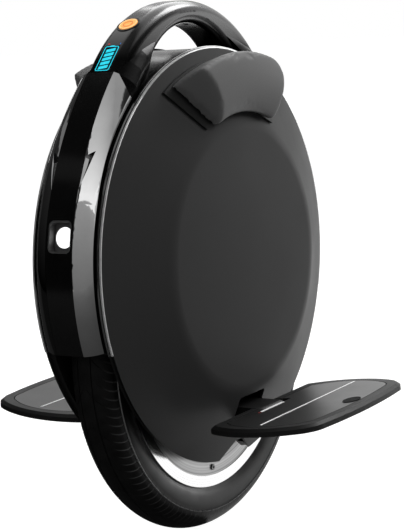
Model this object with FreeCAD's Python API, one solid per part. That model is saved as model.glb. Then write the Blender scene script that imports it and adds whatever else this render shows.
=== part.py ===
import FreeCAD
import Part
import math
import os

from FreeCAD import Vector

# Lengths are in millimetres and angles in degrees.
# The axle lies along X, the front faces -Y and +Z is up. The origin is on the ground below the wheel.

# Fits
seat_gap = 0.1
running_gap = 0.05
clear_gap = 0.4
overrun = 6.0

# Tyre and rim
tyre_radius = 204.0
tyre_width = 52.0
tyre_shoulder_drop = 20.0
tyre_wall = 5.0
tyre_throat = 18.0
tyre_sidewall_bulge = 1.6
tread_groove_width = 2.4
tread_groove_depth = 1.6
tread_groove_shares = (0.3, 0.64)
rim_width = 45.0
tyre_height = 45.4
rim_flange_thickness = 2.5
rim_flange_height = 4.6
rim_depth = 12.0
valve_radius = 2.4
valve_inset = 9.5
valve_plate_gap = 3.0

# Hub motor
motor_ring_width = 34.0
motor_ring_thickness = 7.0
magnet_count = 28
magnet_thickness = 3.5
magnet_width = 28.0
magnet_fill_share = 0.8
air_gap = 0.8
stator_width = 24.0
stator_rim_depth = 28.0
stator_web = 8.0
stator_hub_radius = 26.0
coil_count = 18
coil_depth = 20.0
coil_height = 3.2
coil_fill_share = 0.75
motor_cover_thickness = 4.0
motor_cover_recess = 0.8
motor_cover_land = 16.0
motor_cover_ridge = 9.0
motor_cover_rise = 4.5
motor_hub_gap = 3.5
motor_hub_radius = 34.0
motor_hub_wall = 6.0
motor_screw_count = 6
motor_screw_turn = 53.8
motor_screw_head_radius = 3.2
motor_screw_head_height = 1.6
motor_screw_shank_radius = 1.6
motor_screw_length = 7.0
bearing_radius = 20.0
bearing_width = 11.0
axle_radius = 8.5
axle_shoulder_radius = 11.0
axle_seat_radius = 14.0
axle_length = 116.0
spacer_radius = 13.0

# Frame round the wheel
body_rise_share = 0.44608
body_margin = 15.0
band_thickness = 3.5
band_end_angle = 103.0
frame_width = 66.0
side_plate_thickness = 3.0
side_plate_inset = 3.0
side_plate_hole_radius = 17.0
arch_clearance = 4.5
arch_thickness = 2.5
arch_end_angle = 83.0

# Pedal hangers
hanger_thickness = 10.0
hanger_width = 64.0
hanger_height = 72.0
hanger_foot_width = 44.0
hanger_foot_thickness = 16.0
hanger_bolt_across = 44.0
hanger_bolt_up = 52.0
hanger_bolt_radius = 3.0
hanger_bolt_head_radius = 5.0
hanger_bolt_head_height = 4.0
axle_nut_radius = 13.5
axle_nut_height = 10.0
pin_reach = 88.0
pin_drop_share = 0.36765
pin_radius = 5.0
pin_length = 118.0

# Front and rear spine and the cheeks beside them
spine_width = 31.4
spine_height = 13.5
spine_wall = 3.0
spine_knee_angle = 68.9
spine_slope_bulge = 7.5
spine_end_angle = 106.3
cheek_gap = 0.3
cheek_width = 18.0
cheek_edge_height = 4.0
cheek_top_edge_height = 9.7
cheek_bulge_share = 0.2
cheek_thickness = 4.0
cheek_top_lean = 14.0
cheek_sections = 9
scoop_top_angle = 57.4
scoop_tip_angle = 54.5
scoop_low_angle = 65.8
scoop_width = 12.5
scoop_depth = 8.0
scoop_root_width = 3.0
scoop_flare = 1.5
scoop_fill_shares = (0.3, 0.22, 0.75)

# Carrying handle, display, power button and lift switch
handle_width = 42.0
handle_rise = 51.0
handle_arch_inset = 40.0
handle_end_angle = 34.2
handle_round = 13.0
shoulder_sink = 0.8
shoulder_start_angle = 12.0
shoulder_sections = 5
grip_thickness = 24.0
grip_hole_radius = 98.5
grip_round = 9.0
grip_funnel_rise = 6.0
display_margin = 1.2
display_width = 18.0
display_length = 34.0
display_thickness = 1.6
button_spacing = 52.5
button_radius = 10.0
button_height = 7.0
button_proud = 0.8
bezel_wall = 2.0
bezel_height = 6.0
bezel_proud = 0.4
button_pocket_depth = 9.5
lift_switch_length = 34.0
lift_switch_width = 14.0
lift_switch_height = 6.0
lift_switch_proud = 2.2
lift_switch_travel = 1.5

# Headlight, tail light and charge port
headlight_angle = 77.0
headlight_width = 27.6
headlight_length = 32.0
headlight_corner = 6.0
headlight_recess = 0.8
headlight_wall = 1.4
headlight_cavity_share = 0.63
headlight_bore_radius = 11.4
reflector_depth_share = 0.21
reflector_wall = 1.0
reflector_proud = 0.4
lens_thickness = 2.4
lens_recess = 0.3
tail_light_angle = 77.0
tail_light_span = 10.0
tail_light_width = 18.0
tail_light_thickness = 6.0
tail_light_proud = 0.6
socket_flange_radius = 10.0
socket_radius = 8.0
socket_length = 14.0
socket_recess_radius = 6.0
socket_recess_depth = 3.6
cap_radius = 12.0
cap_thickness = 3.0
cap_lug_width = 10.0
cap_lug_reach = 3.5
cap_barrel_radius = 1.5

# Side covers with their rings
ring_stack_width = 5.0
carrier_width = 7.0
carrier_inset = 4.0
trim_ring_proud = 2.3
trim_ring_width = 1.6
trim_ring_offset = 0.6
light_ring_proud = 1.0
light_ring_width = 2.0
light_ring_end_angle = 107.5
cover_thickness = 3.0
cover_rim_width = 79.0
cover_slope_rise = 32.0
cover_crown_rise = 3.0
cover_slot_side = 4.0
cover_slot_above = 19.0
cover_slot_below = 17.0
notch_half_width = 34.0
notch_top_half_width = 8.0
notch_depth = 20.0

# Leg pads
pad_depth = 66.5
pad_edge_inset = 3.0
pad_rear_angle = 24.5
pad_front_angle = 31.0
pad_facet_angle = 24.6
pad_facet_lean = 35.7
pad_rise = 7.0
pad_crown = 7.0
pad_top_slope = 9.5
pad_edge_round = 5.0
pad_top_corner = 24.0
pad_low_corner = 7.0
pad_base_thickness = 3.0
pad_base_rear_angle = 28.0
pad_base_front_angle = 29.6
pad_base_front_lean = 16.0
pad_base_inset = 2.0

# Pedals
pedal_tilt = 5.1
pedal_top_above_pin = 8.5
pedal_thickness = 10.0
pedal_reach = 118.0
pedal_tail = 9.0
pedal_length = 241.0
pedal_tail_length = 204.0
pedal_side_end_share = 0.82
pedal_side_width_share = 0.9
pedal_belly_share = 0.42
pedal_corner_share = 0.955
pedal_corner_width_share = 0.68
pedal_corner_out_share = 0.92
pedal_corner_mid_share = 0.805
pedal_top_chamfer = 3.0
pedal_edge_height = 5.0
pedal_under_inset = 9.0
pedal_barrel_radius = 8.0
pedal_barrel_end = 57.0
pedal_notch_gap = 2.0
pedal_notch_reach = 13.0
grip_inset = 12.0
grip_groove = 1.0
grip_mat_thickness = 2.0

# Electrics inside the shell
battery_width = 188.0
battery_height = 92.0
battery_thickness = 26.0
battery_rise = 6.0
heat_sink_length = 140.0
heat_sink_height = 60.0
heat_sink_thickness = 12.0
heat_sink_rise = 14.0
fin_count = 6
fin_depth = 7.0
fin_gap_share = 0.5
board_thickness = 2.0
board_margin = 4.0

# Heights and faces that many pieces share
axle_height = tyre_radius
body_height = axle_height + tyre_radius * body_rise_share
shoulder_radius = tyre_radius - tyre_shoulder_drop
rim_flange_radius = tyre_radius - tyre_height
rim_inner_radius = rim_flange_radius - rim_depth
rim_seat_radius = rim_flange_radius - rim_flange_height
pin_height = axle_height - tyre_radius * pin_drop_share
body_radius = tyre_radius + body_margin
spine_radius = body_radius + spine_height
cheek_edge_radius = body_radius + cheek_edge_height
cheek_top_edge_radius = body_radius + cheek_top_edge_height
handle_top_height = body_height + body_radius + handle_rise
handle_arch_radius = body_radius - handle_arch_inset
carrier_outer_radius = body_radius - carrier_inset
carrier_inner_radius = carrier_outer_radius - carrier_width
trim_ring_radius = body_radius + trim_ring_proud
light_ring_radius = body_radius + light_ring_proud
cover_crease_radius = body_radius - cover_rim_width
pad_outer_radius = body_radius - pad_edge_inset
pad_inner_radius = pad_outer_radius - pad_depth
frame_face = frame_width / 2
motor_hub_width = frame_width - 2 * motor_hub_gap
plate_face = frame_face + side_plate_thickness
cover_face = plate_face + ring_stack_width
arch_centre_height = handle_top_height - handle_arch_radius
slope_per_radius = cover_slope_rise / cover_rim_width


def at_axle(place):
    """Point of an (x, radius) pair over the wheel's axle."""
    return Vector(place[0], 0, axle_height + place[1])


def at_body(place):
    """Point of an (x, radius) pair over the centre of the round body."""
    return Vector(place[0], 0, body_height + place[1])


def at_side(place):
    """Point of a (y, z) pair in the middle plane."""
    return Vector(0, place[0], place[1])


def outline_edges(steps, to_point):
    """Edges through points; a pair of points is an arc through the first to the second."""
    first = to_point(steps[0])
    here = first
    edges = []
    for step in steps[1:]:
        if isinstance(step[0], tuple):
            end = to_point(step[1])
            edges.append(Part.Arc(here, to_point(step[0]), end).toShape())
        else:
            end = to_point(step)
            edges.append(Part.makeLine(here, end))
        here = end
    if (here - first).Length > running_gap:
        edges.append(Part.makeLine(here, first))
    return edges


def outline_face(steps, to_point):
    """Flat face inside a closed outline."""
    return Part.Face(Part.Wire(outline_edges(steps, to_point)))


def turned(steps, to_point, start=0, sweep=360):
    """Solid of an (x, radius) outline turned about its X axis, from start on towards the front."""
    centre = to_point((0, 0))
    solid = outline_face(steps, to_point).revolve(centre, Vector(1, 0, 0), sweep)
    solid.rotate(centre, Vector(1, 0, 0), start)
    return solid


def ring_steps(x_from, x_to, inner, outer):
    """Rectangle outline of a plain ring."""
    return [(x_from, inner), (x_to, inner), (x_to, outer), (x_from, outer)]


def extruded(steps, x_from, x_to):
    """Solid of a (y, z) outline between two places along X."""
    solid = outline_face(steps, at_side).extrude(Vector(x_to - x_from, 0, 0))
    solid.translate(Vector(x_from, 0, 0))
    return solid


def box(x_from, x_to, y_from, y_to, z_from, z_to):
    """Box between two corners."""
    return Part.makeBox(x_to - x_from, y_to - y_from, z_to - z_from, Vector(x_from, y_from, z_from))


def rod_x(x_from, x_to, y, z, radius):
    """Round rod along X."""
    return Part.makeCylinder(radius, x_to - x_from, Vector(x_from, y, z), Vector(1, 0, 0))


def rod_y(length, x, z, radius):
    """Round rod along Y, centred on the middle plane."""
    return Part.makeCylinder(radius, length, Vector(x, -length / 2, z), Vector(0, 1, 0))


def rod_z(radius, z_from, z_to):
    """Upright round rod over the origin."""
    return Part.makeCylinder(radius, z_to - z_from, Vector(0, 0, z_from))


def other_side(shape):
    """Mirror image across the middle plane, from the left to the right."""
    return shape.mirror(Vector(0, 0, 0), Vector(1, 0, 0))


def other_end(shape):
    """Mirror image from the front to the rear."""
    return shape.mirror(Vector(0, 0, 0), Vector(0, 1, 0))


def swung(shape, centre_height, angle):
    """Shape turned towards the front about an X axis at a height."""
    shape.rotate(Vector(0, 0, centre_height), Vector(1, 0, 0), angle)
    return shape


def group(shapes):
    """Separate solids kept together as one piece."""
    return Part.makeCompound(shapes)


def around_axle(shape, count):
    """Copies of a shape, evenly spaced round the axle."""
    copies = []
    for index in range(count):
        copies.append(swung(shape.copy(), axle_height, 360 * index / count))
    return copies


def edges_with_radius(shape, radius):
    """Round edges of one radius that lie flat on the sides of a shape."""
    found = []
    for edge in shape.Edges:
        if hasattr(edge.Curve, "Radius") and abs(edge.Curve.Radius - radius) < running_gap:
            if abs(edge.Curve.Axis.x) > 0.5 and edge.BoundBox.XLength < running_gap:
                found.append(edge)
    return found


# Wheel: everything that turns on the axle

def make_tyre():
    """Tyre casing, open between its beads, with grooves round the tread."""
    half = tyre_width / 2
    bead = rim_width / 2 - rim_flange_thickness - seat_gap
    seat = rim_seat_radius + seat_gap
    mid_x = (bead + half) / 2 + tyre_sidewall_bulge
    mid_radius = (rim_flange_radius + shoulder_radius) / 2
    casing = turned([(-bead, seat), (bead, seat), (bead, rim_flange_radius),
                     ((mid_x, mid_radius), (half, shoulder_radius)),
                     ((0, tyre_radius), (-half, shoulder_radius)),
                     ((-mid_x, mid_radius), (-bead, rim_flange_radius))], at_axle)
    throat = tyre_throat / 2
    casing = casing.cut(tube_solid(0))
    casing = casing.cut(turned(ring_steps(-throat, throat, rim_inner_radius, tube_centre()), at_axle))
    crown_radius = (half ** 2 + tyre_shoulder_drop ** 2) / (2 * tyre_shoulder_drop)
    for share in tread_groove_shares:
        x = share * half
        top = tyre_radius - crown_radius + math.sqrt(crown_radius ** 2 - x ** 2)
        low = top - tread_groove_depth
        for side in (-1, 1):
            middle = side * x
            edge = tread_groove_width / 2
            groove = turned(ring_steps(middle - edge, middle + edge, low, tyre_radius + overrun), at_axle)
            casing = casing.cut(groove)
    return casing


def tube_centre():
    """Radius of the middle of the air space in the tyre."""
    return (tyre_radius - tyre_wall + rim_flange_radius) / 2


def tube_solid(shrink):
    """Ring of oval section that fills the tyre's air space."""
    tall = (tyre_radius - tyre_wall - rim_flange_radius) / 2 - shrink
    wide = tyre_width / 2 - tyre_wall - shrink
    top = tube_centre() + tall
    low = tube_centre() - tall
    return turned([(0, low), ((wide, tube_centre()), (0, top)), ((-wide, tube_centre()), (0, low))], at_axle)


def make_inner_tube():
    return tube_solid(seat_gap)


def make_rim():
    """Channel rim with polished side flanges, bored for the valve."""
    half = rim_width / 2
    wall = half - rim_flange_thickness
    rim = turned([(-half, rim_inner_radius), (half, rim_inner_radius), (half, rim_flange_radius),
                  (wall, rim_flange_radius), (wall, rim_seat_radius), (-wall, rim_seat_radius),
                  (-wall, rim_flange_radius), (-half, rim_flange_radius)], at_axle)
    return rim.cut(valve_rod(valve_radius + seat_gap, overrun))


def valve_rod(radius, extra):
    """Rod along the valve's axis, which points out of the rim's left side."""
    start = rim_width / 2 - valve_inset
    end = frame_face - valve_plate_gap
    height = axle_height + (rim_inner_radius + rim_seat_radius) / 2
    return rod_x(start - (seat_gap if extra else 0), end + extra, 0, height, radius)


def make_valve_stem():
    return valve_rod(valve_radius, 0)


def magnet_ring_radius():
    """Bore radius of the motor's iron ring."""
    return rim_inner_radius - seat_gap - motor_ring_thickness


def make_motor_ring():
    half = motor_ring_width / 2
    ring = turned(ring_steps(-half, half, magnet_ring_radius(), rim_inner_radius - seat_gap), at_axle)
    holes = motor_screws(seat_gap)
    return ring.cut(group(holes + [other_side(hole) for hole in holes]))


def make_rotor_magnets():
    half = magnet_width / 2
    sweep = 360 / magnet_count * magnet_fill_share
    outer = magnet_ring_radius() - running_gap
    magnet = turned(ring_steps(-half, half, outer - magnet_thickness, outer), at_axle, 0, sweep)
    return group(around_axle(magnet, magnet_count))


def motor_cover_edge():
    """X of the land on the motor cover that the screws sit on."""
    return rim_width / 2 - motor_cover_recess


def motor_cover_outer():
    """Outer radius of the motor cover, inside the rim."""
    return rim_inner_radius - seat_gap


def make_motor_cover():
    """Dished motor side cover with a land for its screws, a ridge and a bearing hub."""
    edge = motor_cover_edge()
    outer = motor_cover_outer()
    land = outer - motor_cover_land
    ridge = land - motor_cover_ridge
    ridge_x = edge + motor_cover_rise
    hub_x = motor_hub_width / 2
    bore = bearing_radius + seat_gap
    wall = bore + motor_hub_wall
    inner_edge = motor_ring_width / 2
    cover = turned([(inner_edge, outer), (edge, outer), (edge, land), (ridge_x, ridge),
                    (hub_x, motor_hub_radius), (hub_x, bore), (hub_x - bearing_width, bore),
                    (hub_x - bearing_width, wall), (hub_x - motor_cover_thickness, wall),
                    (ridge_x - motor_cover_thickness, ridge), (inner_edge, land)], at_axle)
    return cover.cut(group(motor_screws(seat_gap)))


def motor_screw(grow):
    """One motor cover screw, seated in the land; grow makes its hole."""
    height = axle_height + motor_cover_outer() - motor_cover_land / 2
    top = motor_cover_edge()
    head = rod_x(top - (grow and seat_gap), top + motor_screw_head_height + grow, 0, height,
                 motor_screw_head_radius)
    shank = rod_x(top - motor_screw_length, top + motor_screw_head_height, 0, height,
                  motor_screw_shank_radius + grow)
    return shank if grow else head.fuse(shank).removeSplitter()


def motor_screws(grow):
    """All screws of the left motor cover, or their holes."""
    return [swung(screw, axle_height, motor_screw_turn)
            for screw in around_axle(motor_screw(grow), motor_screw_count)]


def make_motor_cover_screws():
    left = motor_screws(0)
    return group(left + [other_side(screw) for screw in left])


def make_wheel_bearings():
    hub_x = motor_hub_width / 2
    bearing = turned(ring_steps(hub_x - bearing_width, hub_x, axle_radius + running_gap,
                                bearing_radius), at_axle)
    return group([bearing, other_side(bearing)])


# Axle, stator and pedal hangers: fixed to the body

def make_axle():
    """Axle with a seat for the stator and shoulders inside the bearings."""
    axle = rod_x(-axle_length / 2, axle_length / 2, 0, axle_height, axle_radius)
    shoulder = motor_hub_width / 2 - bearing_width - clear_gap
    axle = axle.fuse(rod_x(-shoulder, shoulder, 0, axle_height, axle_shoulder_radius))
    seat = stator_width / 2
    return axle.fuse(rod_x(-seat, seat, 0, axle_height, axle_seat_radius)).removeSplitter()


def stator_outer():
    return magnet_ring_radius() - running_gap - magnet_thickness - air_gap


def make_stator_core():
    """Laminated ring on a thin web and a hub."""
    half = stator_width / 2
    web = stator_web / 2
    inner = stator_outer() - stator_rim_depth
    bore = axle_seat_radius + seat_gap
    return turned([(-half, bore), (half, bore), (half, stator_hub_radius), (web, stator_hub_radius),
                   (web, inner), (half, inner), (half, stator_outer()), (-half, stator_outer()),
                   (-half, inner), (-web, inner), (-web, stator_hub_radius),
                   (-half, stator_hub_radius)], at_axle)


def make_stator_windings():
    """Coil ends that stand out of both faces of the stator."""
    face = stator_width / 2 + seat_gap
    outer = stator_outer() - (stator_rim_depth - coil_depth) / 2
    sweep = 360 / coil_count * coil_fill_share
    coil = turned(ring_steps(face, face + coil_height, outer - coil_depth, outer), at_axle, 0, sweep)
    left = around_axle(coil, coil_count)
    return group(left + [other_side(part) for part in left])


def make_axle_spacers():
    inner = motor_hub_width / 2 + clear_gap
    spacer = turned(ring_steps(inner, plate_face, axle_radius + running_gap, spacer_radius), at_axle)
    return group([spacer, other_side(spacer)])


def hanger_bolt_places():
    """Places of the four bolts of one hanger, as (y, z)."""
    across = hanger_bolt_across / 2
    up = hanger_bolt_up / 2
    return [(y, axle_height + z) for y in (-across, across) for z in (-up, up)]


def make_hanger():
    """Left hanger: a plate on the axle, an arm down from it and a foot out to the pedal pin."""
    inner = plate_face
    outer = inner + hanger_thickness
    half = hanger_width / 2
    foot = hanger_foot_width / 2
    thick = hanger_foot_thickness / 2
    up = hanger_height / 2
    hanger = box(inner, outer, -half, half, axle_height - up, axle_height + up)
    hanger = hanger.fuse(box(inner, outer, -foot, foot, pin_height - thick, axle_height))
    hanger = hanger.fuse(box(inner, pin_reach, -foot, foot, pin_height - thick, pin_height + thick))
    hanger = hanger.fuse(rod_y(hanger_foot_width, pin_reach, pin_height, thick)).removeSplitter()
    hanger = hanger.cut(rod_x(inner - overrun, outer + overrun, 0, axle_height, axle_radius + running_gap))
    hanger = hanger.cut(rod_y(pin_length, pin_reach, pin_height, pin_radius + running_gap))
    for y, z in hanger_bolt_places():
        hanger = hanger.cut(rod_x(inner - overrun, outer + overrun, y, z, hanger_bolt_radius + seat_gap))
    return hanger


def make_hanger_bolts():
    """Bolts through both hangers into the side plates."""
    outer = plate_face + hanger_thickness
    bolts = []
    for y, z in hanger_bolt_places():
        shank = rod_x(frame_face, outer + hanger_bolt_head_height, y, z, hanger_bolt_radius)
        head = rod_x(outer, outer + hanger_bolt_head_height, y, z, hanger_bolt_head_radius)
        bolts.append(head.fuse(shank).removeSplitter())
    return group(bolts + [other_side(bolt) for bolt in bolts])


def make_axle_nuts():
    """Six-sided nuts that clamp the hangers on the axle."""
    outer = plate_face + hanger_thickness
    corners = []
    for index in range(6):
        angle = math.radians(60 * index)
        corners.append(Vector(outer, axle_nut_radius * math.cos(angle),
                              axle_height + axle_nut_radius * math.sin(angle)))
    face = Part.Face(Part.makePolygon(corners + corners[:1]))
    nut = face.extrude(Vector(axle_nut_height, 0, 0))
    nut = nut.cut(rod_x(outer - overrun, outer + axle_nut_height + overrun, 0, axle_height,
                        axle_radius + running_gap))
    return group([nut, other_side(nut)])


def make_pedal_pins():
    pin = rod_y(pin_length, pin_reach, pin_height, pin_radius)
    return group([pin, other_side(pin)])


# Frame round the wheel

def bottom_notch(x_from, x_to):
    """Tapered cut in the bottom of the plates, rings and covers, which bares the motor cover."""
    low = body_height - body_radius
    return extruded([(-notch_half_width, low - overrun), (notch_half_width, low - overrun),
                     (notch_half_width, low), (notch_top_half_width, low + notch_depth),
                     (-notch_top_half_width, low + notch_depth), (-notch_half_width, low)], x_from, x_to)


def make_wheel_arch():
    """Inner mudguard, concentric with the tyre."""
    inner = tyre_radius + arch_clearance
    return turned(ring_steps(-frame_face, frame_face, inner, inner + arch_thickness), at_axle,
                  -arch_end_angle, 2 * arch_end_angle)


def make_outer_band():
    """Band round the outside of the frame, which is also the deck under the handle."""
    return turned(ring_steps(-frame_face, frame_face, body_radius - band_thickness, body_radius), at_body,
                  -band_end_angle, 2 * band_end_angle)


def make_side_plate():
    """Left side plate, which the hanger, battery and cover are fixed to."""
    radius = body_radius - side_plate_inset
    plate = rod_x(frame_face, plate_face, 0, body_height, radius)
    plate = plate.cut(rod_x(frame_face - overrun, plate_face + overrun, 0, axle_height,
                            side_plate_hole_radius))
    for y, z in hanger_bolt_places():
        plate = plate.cut(rod_x(frame_face - overrun, plate_face + overrun, y, z,
                                hanger_bolt_radius + seat_gap))
    return plate.cut(bottom_notch(frame_face - overrun, plate_face + overrun))


# Spines and cheeks

def polar(radius, angle):
    """(y, z) at a radius and an angle from the top towards the front, about the body's centre."""
    turn = math.radians(angle)
    return (-radius * math.sin(turn), body_height + radius * math.cos(turn))


def arch_radius_at(angle):
    """Distance from the body's centre to the handle's outer arch, along an angle."""
    offset = arch_centre_height - body_height
    along = offset * math.cos(math.radians(angle))
    return along + math.sqrt(along ** 2 + handle_arch_radius ** 2 - offset ** 2)


def slope_ends():
    """Upper and lower (y, z) ends of the front slope between the handle and the spine's round part."""
    return polar(arch_radius_at(handle_end_angle), handle_end_angle), polar(spine_radius, spine_knee_angle)


def slope_middle(inset):
    """(y, z) of the slope's middle, bulged outwards less an inset."""
    (y_top, z_top), (y_knee, z_knee) = slope_ends()
    run_y = y_knee - y_top
    run_z = z_knee - z_top
    run = math.hypot(run_y, run_z)
    out = spine_slope_bulge - inset
    return (y_top + y_knee) / 2 + out * run_z / run, (z_top + z_knee) / 2 - out * run_y / run


def spine_radius_at(angle):
    """Distance from the body's centre to the spine's outer face: an arc, then a bulged slope."""
    if angle >= spine_knee_angle:
        return spine_radius
    (y_top, z_top), (y_knee, z_knee) = slope_ends()
    half_run = math.hypot(y_knee - y_top, z_knee - z_top) / 2
    curve = (half_run ** 2 + spine_slope_bulge ** 2) / (2 * spine_slope_bulge)
    y, z = slope_middle(curve)
    turn = math.radians(angle)
    along = -math.sin(turn) * y + math.cos(turn) * (z - body_height)
    return along + math.sqrt(along ** 2 + curve ** 2 - y ** 2 - (z - body_height) ** 2)


def spine_start_angle():
    """Angle of the spine's upper end, one seat gap below the handle."""
    return handle_end_angle + math.degrees(seat_gap / arch_radius_at(handle_end_angle))


def spine_steps(inset):
    """Side outline of the spine, from the band to its outer face less an inset."""
    start = spine_start_angle()
    low = body_radius + seat_gap
    middle = (start + spine_end_angle) / 2
    bend = (spine_knee_angle + spine_end_angle) / 2
    outer = spine_radius - inset
    return [polar(low, start), polar(spine_radius_at(start) - inset, start),
            (slope_middle(inset), polar(outer, spine_knee_angle)),
            (polar(outer, bend), polar(outer, spine_end_angle)), polar(low, spine_end_angle),
            (polar(low, middle), polar(low, start))]


def make_spine():
    """Hollow strip down the front of the body, open towards the band."""
    half = spine_width / 2
    hollow = half - spine_wall
    return extruded(spine_steps(0), -half, half).cut(extruded(spine_steps(spine_wall), -hollow, hollow))


def headlight_block(inset, low, high):
    """Block with round corners on the headlight's axis, between two heights."""
    wide = headlight_width / 2 - inset
    long = headlight_length / 2 - inset
    block = box(-wide, wide, -long, long, low, high)
    upright = [edge for edge in block.Edges if edge.BoundBox.ZLength > headlight_recess]
    return swung(block.makeFillet(headlight_corner - inset, upright), body_height, headlight_angle)


def make_front_spine():
    surface = body_height + spine_radius
    return make_spine().cut(headlight_block(0, body_height + body_radius, surface + overrun))


def make_rear_spine():
    spine = other_end(make_spine())
    spine = spine.cut(tail_light(seat_gap))
    return spine.cut(on_rear_slope(rod_z(socket_flange_radius + seat_gap, -socket_length, overrun)))


def cheek_edge_at(angle):
    """Radius of the cheek's outer edge, which rises a little towards the handle."""
    climb = max(0, spine_knee_angle - angle) / (spine_knee_angle - handle_end_angle)
    return cheek_edge_radius + (cheek_top_edge_radius - cheek_edge_radius) * climb


def cheek_section(angle):
    """Thin slanted section of the left cheek at one angle, with a bulged outer side."""
    inner_x = spine_width / 2 + cheek_gap
    outer_x = inner_x + cheek_width
    top = spine_radius_at(angle)
    edge = cheek_edge_at(angle)
    low = body_radius + cheek_gap
    bulge = (top - edge) * cheek_bulge_share

    def to_point(place):
        y, z = polar(place[1], angle)
        return Vector(place[0], y, z)

    steps = [(inner_x, top), (((inner_x + outer_x) / 2, (top + edge) / 2 + bulge), (outer_x, edge)),
             (outer_x, low), (inner_x, max(low, top - cheek_thickness))]
    return Part.Wire(outline_edges(steps, to_point))


def make_plain_cheek():
    """Left front cheek: a smooth slanted panel from the spine out to the side."""
    start = spine_start_angle()
    upper = [start + (spine_knee_angle - start) * step / (cheek_sections - 1)
             for step in range(cheek_sections)]
    lower = [spine_knee_angle + (spine_end_angle - spine_knee_angle) * step / (cheek_sections - 1)
             for step in range(cheek_sections)]
    top_half = Part.makeLoft([cheek_section(angle) for angle in upper], True, False)
    low_half = Part.makeLoft([cheek_section(angle) for angle in lower], True, False)
    return top_half.fuse(low_half).removeSplitter().cut(slant_block(0, 1))


def scoop_corners():
    """Deepest point of the hollow in the left front cheek, and its three corners at the surface."""
    inner_x = spine_width / 2
    angles = (scoop_top_angle, scoop_tip_angle, scoop_low_angle)
    places = (inner_x, inner_x + cheek_gap + scoop_width, inner_x)
    corners = []
    for x, angle in zip(places, angles):
        y, z = polar(spine_radius_at(angle), angle)
        corners.append(Vector(x, y, z))
    y, z = polar(spine_radius_at(scoop_top_angle) - scoop_depth, scoop_top_angle)
    return Vector(inner_x + cheek_gap + scoop_root_width, y, z), corners


def pyramid(apex, corners):
    """Solid between a point and three corners."""
    faces = []
    for ring in (corners, [apex, corners[0], corners[1]], [apex, corners[1], corners[2]],
                 [apex, corners[2], corners[0]]):
        faces.append(Part.Face(Part.makePolygon(ring + ring[:1])))
    return Part.makeSolid(Part.makeShell(faces))


def make_front_cheek():
    apex, corners = scoop_corners()
    hollow = pyramid(apex, [apex + (corner - apex) * scoop_flare for corner in corners])
    return make_plain_cheek().cut(hollow)


def make_rear_cheek():
    return other_end(make_plain_cheek())


def make_cheek_scoops():
    """Dark inserts at the bottom of the hollows."""
    apex, corners = scoop_corners()
    reached = [apex + (corner - apex) * share for corner, share in zip(corners, scoop_fill_shares)]
    low = apex + (reached[0] + reached[1] + reached[2] - apex * 3) * (seat_gap / scoop_depth)
    scoop = pyramid(low, reached)
    return group([scoop, other_side(scoop)])


# Handle with its display, button and lift switch

def on_arch(shape, angle):
    """Shape made on top of the handle, moved down its front slope by an angle."""
    return swung(shape, arch_centre_height, angle)


def display_angle():
    """Angle about the arch's centre of the display's middle, just above the handle's front end."""
    y, z = polar(arch_radius_at(handle_end_angle), handle_end_angle)
    end = math.degrees(math.atan2(-y, z - arch_centre_height))
    return end - math.degrees((display_length / 2 + display_margin) / handle_arch_radius)


def button_angle():
    """Angle about the arch's centre of the button, a set way up from the display."""
    return display_angle() - math.degrees(button_spacing / handle_arch_radius)


def grip_underside():
    """Height of the middle of the grip's underside."""
    return handle_top_height - grip_thickness


def slant_block(gap, side):
    """Block above (side 1) or below (side -1) the slanted joint between the left cheek and the handle."""
    start = handle_width / 2
    end = spine_width / 2 + cheek_gap + cheek_width
    lean = cheek_top_lean / (end - start)
    far = side * (cheek_top_lean + overrun) * 2
    corners = [(0, gap + start * lean), (end + overrun, gap - (end + overrun - start) * lean),
               (end + overrun, far), (0, far)]
    low = body_height + body_radius - overrun
    points = [Vector(x, y, low) for x, y in corners]
    face = Part.Face(Part.makePolygon(points + points[:1]))
    block = face.extrude(Vector(0, 0, handle_top_height - low))
    return swung(block, body_height, handle_end_angle)


def shoulder_section(angle, spread):
    """Section of the handle's left shoulder: as wide as the cheek at spread 1, inside the arch at 0."""
    low = body_radius + seat_gap
    inner_x = spine_width / 2 + cheek_gap
    plain_x = handle_width / 2 - clear_gap
    outer_x = plain_x + (inner_x + cheek_width - plain_x) * spread
    top = min(arch_radius_at(angle), spine_radius_at(max(angle, handle_end_angle))) - shoulder_sink
    plain_edge = top - handle_round
    edge = plain_edge + (cheek_edge_at(handle_end_angle) - plain_edge) * spread
    bulge = (top - edge) * cheek_bulge_share

    def to_point(place):
        y, z = polar(place[1], angle)
        return Vector(place[0], y, z)

    root_x = handle_width / 2 - handle_round
    steps = [(root_x, low), (root_x, top), (inner_x, top),
             (((inner_x + outer_x) / 2, (top + edge) / 2 + bulge), (outer_x, edge)), (outer_x, low)]
    return Part.Wire(outline_edges(steps, to_point))


def make_shoulder():
    """Left front shoulder, which widens from the handle's side out to the cheek."""
    wide_angle = handle_end_angle + math.degrees(cheek_top_lean / body_radius)
    wires = [shoulder_section(wide_angle, 1)]
    for step in range(shoulder_sections):
        share = step / (shoulder_sections - 1)
        angle = handle_end_angle + (shoulder_start_angle - handle_end_angle) * share
        wires.append(shoulder_section(angle, 1 - share))
    shoulder = Part.makeLoft(wires, True, True).cut(slant_block(seat_gap, -1))
    return shoulder.cut(rod_x(0, handle_width + cheek_width, 0, body_height, body_radius + seat_gap))


def grip_funnel():
    """Space of the hand gap, which widens with a rounded lip towards both sides."""
    half = handle_width / 2
    flat = half - grip_round
    outer = spine_width / 2 + cheek_width + overrun
    radius = grip_hole_radius
    lip = radius + grip_round
    turn = grip_round * (1 - math.sqrt(2) / 2)
    wide = lip + grip_funnel_rise
    height = grip_underside() - radius

    def to_point(place):
        return Vector(place[0], 0, height + place[1])

    return turned([(-outer, 0), (outer, 0), (outer, wide), (half, lip),
                   ((half - turn, radius + turn), (flat, radius)), (-flat, radius),
                   ((turn - half, radius + turn), (-half, lip)), (-outer, wide)], to_point)


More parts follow.
